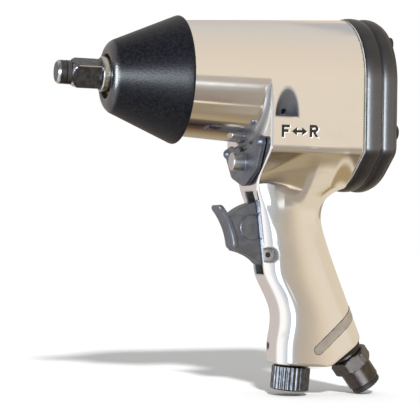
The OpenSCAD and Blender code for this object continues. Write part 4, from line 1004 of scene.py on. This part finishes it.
clutter = add(tree, "TexNoise", Vector=ray, Scale=3.0, Detail=2.0)
drift = spread(clutter.outputs[0], -0.07, 0.07)
bent = calc("MULTIPLY_ADD", drift, above(-15.0, -45.0), tip)
upright = ramp(bent, dial(
    (-180, "#aaa193"), (-150, "#a0927c"), (-138, "#95846a"), (-126, "#836d54"), (-115, "#5f4b38"),
    (-106, "#2b2018"), (-97, "#574e4f"), (-92, "#66563f"), (-89, "#8a7a62"), (-86, "#a59470"),
    (-83, "#a7977c"), (-78, "#9b8a70"), (-72, "#94836e"), (-68, "#9a8974"), (-62, "#94866a"),
    (-56, "#b5a488"), (-54, "#fff8e0"), (-51, "#fff8e0"), (-48, "#8d7a6b"), (-36, "#92827a"),
    (-25, "#9f988e"), (-17, "#bfbcb8"), (-15, "#fafafc"), (-11, "#fafafc"), (-9.5, "#bcb7b3"),
    (3, "#e2d6c4"), (50, "#ddd0c0"), (112, "#cfcac4"), (140, "#c6c1bd"), (154, "#c9c0b6"),
    (165, "#9b8f7f"), (180, "#aaa193")))
level = ramp(swing, dial(
    (-180, "#c4bab6"), (-150, "#cac2c0"), (-136, "#dedada"), (-124, "#ffffff"), (-84, "#ffffff"),
    (-68, "#e5e8ed"), (-48, "#caced9"), (-31, "#c2c6cf"), (-13, "#bec2c5"), (3, "#b0afac"),
    (12, "#b6aea5"), (17, "#b6ab9e"), (20, "#c3b5a2"), (23, "#dbccb7"), (27, "#e2d6c4"),
    (60, "#ddd1bf"), (95, "#d9cdbd"), (115, "#c7b7a0"), (130, "#98886d"), (150, "#b3a99a"),
    (180, "#bdb4a6")))
print("room nodes:", len(tree.nodes))

# %% [markdown]
# ## Zones of the room
# A few things break the room's tones: grey, cream and brown patches low on the right, and a grey
# one overhead. The room's left end is dim and bluish, but pale low down and at the back.


# %% Zones of the room
def zone(under, code, *windows):
    """Puts a colour over what lies under it, where all of the windows are open."""
    share = windows[0]
    for other in windows[1:]:
        share = calc("MULTIPLY", share, other)
    return blend(share, under, paint(code))


facing = window(depth, 0.02, -0.08)
far = zone(upright, "#a49b8e", window(side, 0.228, 0.25), above(-8.0, -12.0), above(-66.0, -62.0), facing)
far = zone(far, "#d9ccb7", window(side, 0.345, 0.39), above(-67.5, -63.0))
far = zone(far, "#a68f6c", window(side, 0.44, 0.52), above(-36.0, -48.0))
far = zone(far, "#b4b3b6", window(side, 0.338, 0.352), window(tip, 0.753, 0.768), above(35.0, 45.0))
dim = ramp(spread(rise, 0.0, 1.0, -1.0, 1.0), [
    (0.0, "#6b5c4c"), (0.12, "#4a4446"), (0.3, "#44444f"), (0.6, "#70707c"), (0.9, "#83828c"),
    (1.0, "#a09a96")])
below_left = calc("MULTIPLY", window(swing, 0.376, 0.345), window(rise, 0.1, -0.1))
pale = calc("MAXIMUM", below_left, window(depth, 0.0, 0.3))
left = window(side, 0.08, -0.12)
far = blend(left, far, blend(pale, dim, paint("#d0c9c6")))
print("room nodes:", len(tree.nodes))

# %% [markdown]
# ## What a ray sees
# Near the horizon a ray meets the level tones, in a band that reaches lower on the left, and away
# from it the rest. Only mirrors see the room: matt faces and the camera meet plain white.

# %% What a ray sees
lifted, sunk = (calc("MULTIPLY_ADD", left, shift * DEGREE, height) for shift in (35.0, -9.0))
away = calc("MAXIMUM", window(sunk, 0.0, 3.5 * DEGREE), window(lifted, -7.0 * DEGREE, -11.0 * DEGREE))
room = blend(away, level, far)
ambient, mirror, plain_white = (
    add(tree, "Background", Color=colour, Strength=strength).outputs[0]
    for colour, strength in ((paint("#ffffff"), 0.5), (room, 1.1), (paint("#ffffff"), 1.0)))
path = add(tree, "LightPath").outputs
see = add(tree, "MixShader", _0=path["Is Glossy Ray"], _1=ambient, _2=mirror).outputs[0]
see = add(tree, "MixShader", _0=path["Is Camera Ray"], _1=see, _2=plain_white).outputs[0]
add(tree, "OutputWorld", Surface=see)
print("world nodes:", len(tree.nodes))

# %% [markdown]
# ## Lamps and floor
# Soft panels draw lines of light. Each is linked to the pieces that need it, so that the mirror
# beside them keeps its tones. The sun in the window lights what is matt and casts the shadow.


# %% Lamps and floor
def toward(swing, height):
    """Direction at a swing from ahead and a height over the horizon, both in degrees."""
    a, e = np.radians([swing, height])
    return np.array([np.sin(a) * np.cos(e), -np.cos(a) * np.cos(e), np.sin(e)])


def hang(light, direction, reach, point, matt):
    """Hangs a light that faces a point from a distance in metres, for matt faces or for mirrors."""
    obj, out = show(light.name, light), Vector(toward(*direction))
    facing = out.to_track_quat("Z", "Y").to_matrix().to_4x4()
    obj.matrix_world = Matrix.Translation(Vector(point) + reach * out) @ facing
    obj.visible_camera, obj.visible_diffuse, obj.visible_glossy = False, matt, not matt
    return obj


def panel_light(name, direction, reach, wide, tall, brightness, colour, point, lit_names):
    """Panel that only some pieces see: brightness times pi times area is its power, so 1 is white."""
    light = bpy.data.lights.new(name, "AREA")
    light.shape, light.size, light.size_y, light.color = "RECTANGLE", wide, tall, colour
    light.energy = brightness * np.pi * wide * tall
    lit = bpy.data.collections.new("lit by " + name)
    for obj in pieces:
        if obj.name in lit_names:
            lit.objects.link(obj)
    hang(light, direction, reach, point, False).light_linking.receiver_collection = lit


COOL, WARM = (0.85, 0.93, 1.0), (1.0, 0.9, 0.8)
MIDDLE, MOUTH, FOOT = (0.085, 0.0, -0.03), (0.155, -0.009, -0.165), (0.105, -0.014, -0.146)
pieces = [obj for obj in bpy.context.scene.objects if obj.type == "MESH"]
the_rest = {obj.name for obj in pieces} - {"rubber_boot", "housing", "inlet_fitting", "ribbed_cover"}
panel_light("edge panel", (-88.0, 2.0), 1.2, 0.6, 0.7, 12.0, COOL, MIDDLE, {"rubber_boot"})
panel_light("boot panel", (-45.0, 1.0), 1.2, 0.9, 0.34, 30.0, COOL, MIDDLE, {"rubber_boot"})
panel_light("cover panel", (-12.0, -2.0), 1.2, 0.4, 0.6, 60.0, COOL, MIDDLE, {"ribbed_cover"})
panel_light("warm panel", (45.0, 0.0), 1.2, 1.5, 0.8, 2.0, WARM, MIDDLE, {"ribbed_cover"})
panel_light("inlet panel", (-10.0, -25.0), 1.2, 1.1, 0.7, 4.6, COOL, MOUTH, {"inlet_fitting"})
panel_light("foot panel", (-28.0, -3.0), 0.17, 0.085, 0.1, 1.1, COOL, FOOT, {"housing"})
panel_light("front panel", (-52.0, -3.0), 1.2, 1.1, 0.42, 11.0, COOL, MIDDLE, the_rest)
sun = bpy.data.lights.new("window", "SUN")
sun.angle, sun.energy = np.radians(5.0), 3.6
hang(sun, (-12.0, 33.6), 1.0, MIDDLE, True)

FAR, floor_z = 9.0, cad_box[0][2]
mesh = bpy.data.meshes.new("floor")
mesh.from_pydata([(x, y, floor_z) for x, y in bar(-FAR, -FAR, FAR, FAR)], [], [(0, 1, 2, 3)])
mesh.materials.append(finish("floor, matt white", Base_Color=paint("#fafafa"), Roughness=1.0)[0])
floor = show("floor", mesh)
floor.visible_glossy = floor.visible_shadow = False
print("floor at", round(floor_z, 4), "lights:", len(bpy.data.lights))

# %% [markdown]
# ## Camera
# The camera stands 0.8 m away, a little ahead of square-on and a degree below level, with the
# slight roll of a hand-held picture. Its angle is that of a frame 420 pixels wide.

# %% Camera
AZIMUTH, ELEVATION, ROLL = -19.6, -1.0, np.radians(0.97)
DISTANCE, TARGET = 0.8, np.array([0.0635, 0.0, -0.071])
HALF_FRAME, FOCAL = 210.0, 1467.0
back, right = toward(AZIMUTH, ELEVATION), toward(AZIMUTH + 90.0, 0.0)
camera_data = bpy.data.cameras.new("camera")
camera_data.sensor_fit = "HORIZONTAL"
camera_data.angle = 2.0 * np.arctan(HALF_FRAME / FOCAL)
camera = show("camera", camera_data)
stance = np.column_stack([right, np.cross(back, right), back, TARGET + DISTANCE * back])
stance = Matrix(stance.tolist() + [[0.0, 0.0, 0.0, 1.0]])
camera.matrix_world = stance @ Matrix.Rotation(ROLL, 4, "Z")
bpy.context.scene.camera = camera
bpy.context.scene.view_settings.view_transform = "Standard"
print("angle of view:", round(np.degrees(camera_data.angle), 2), "degrees")
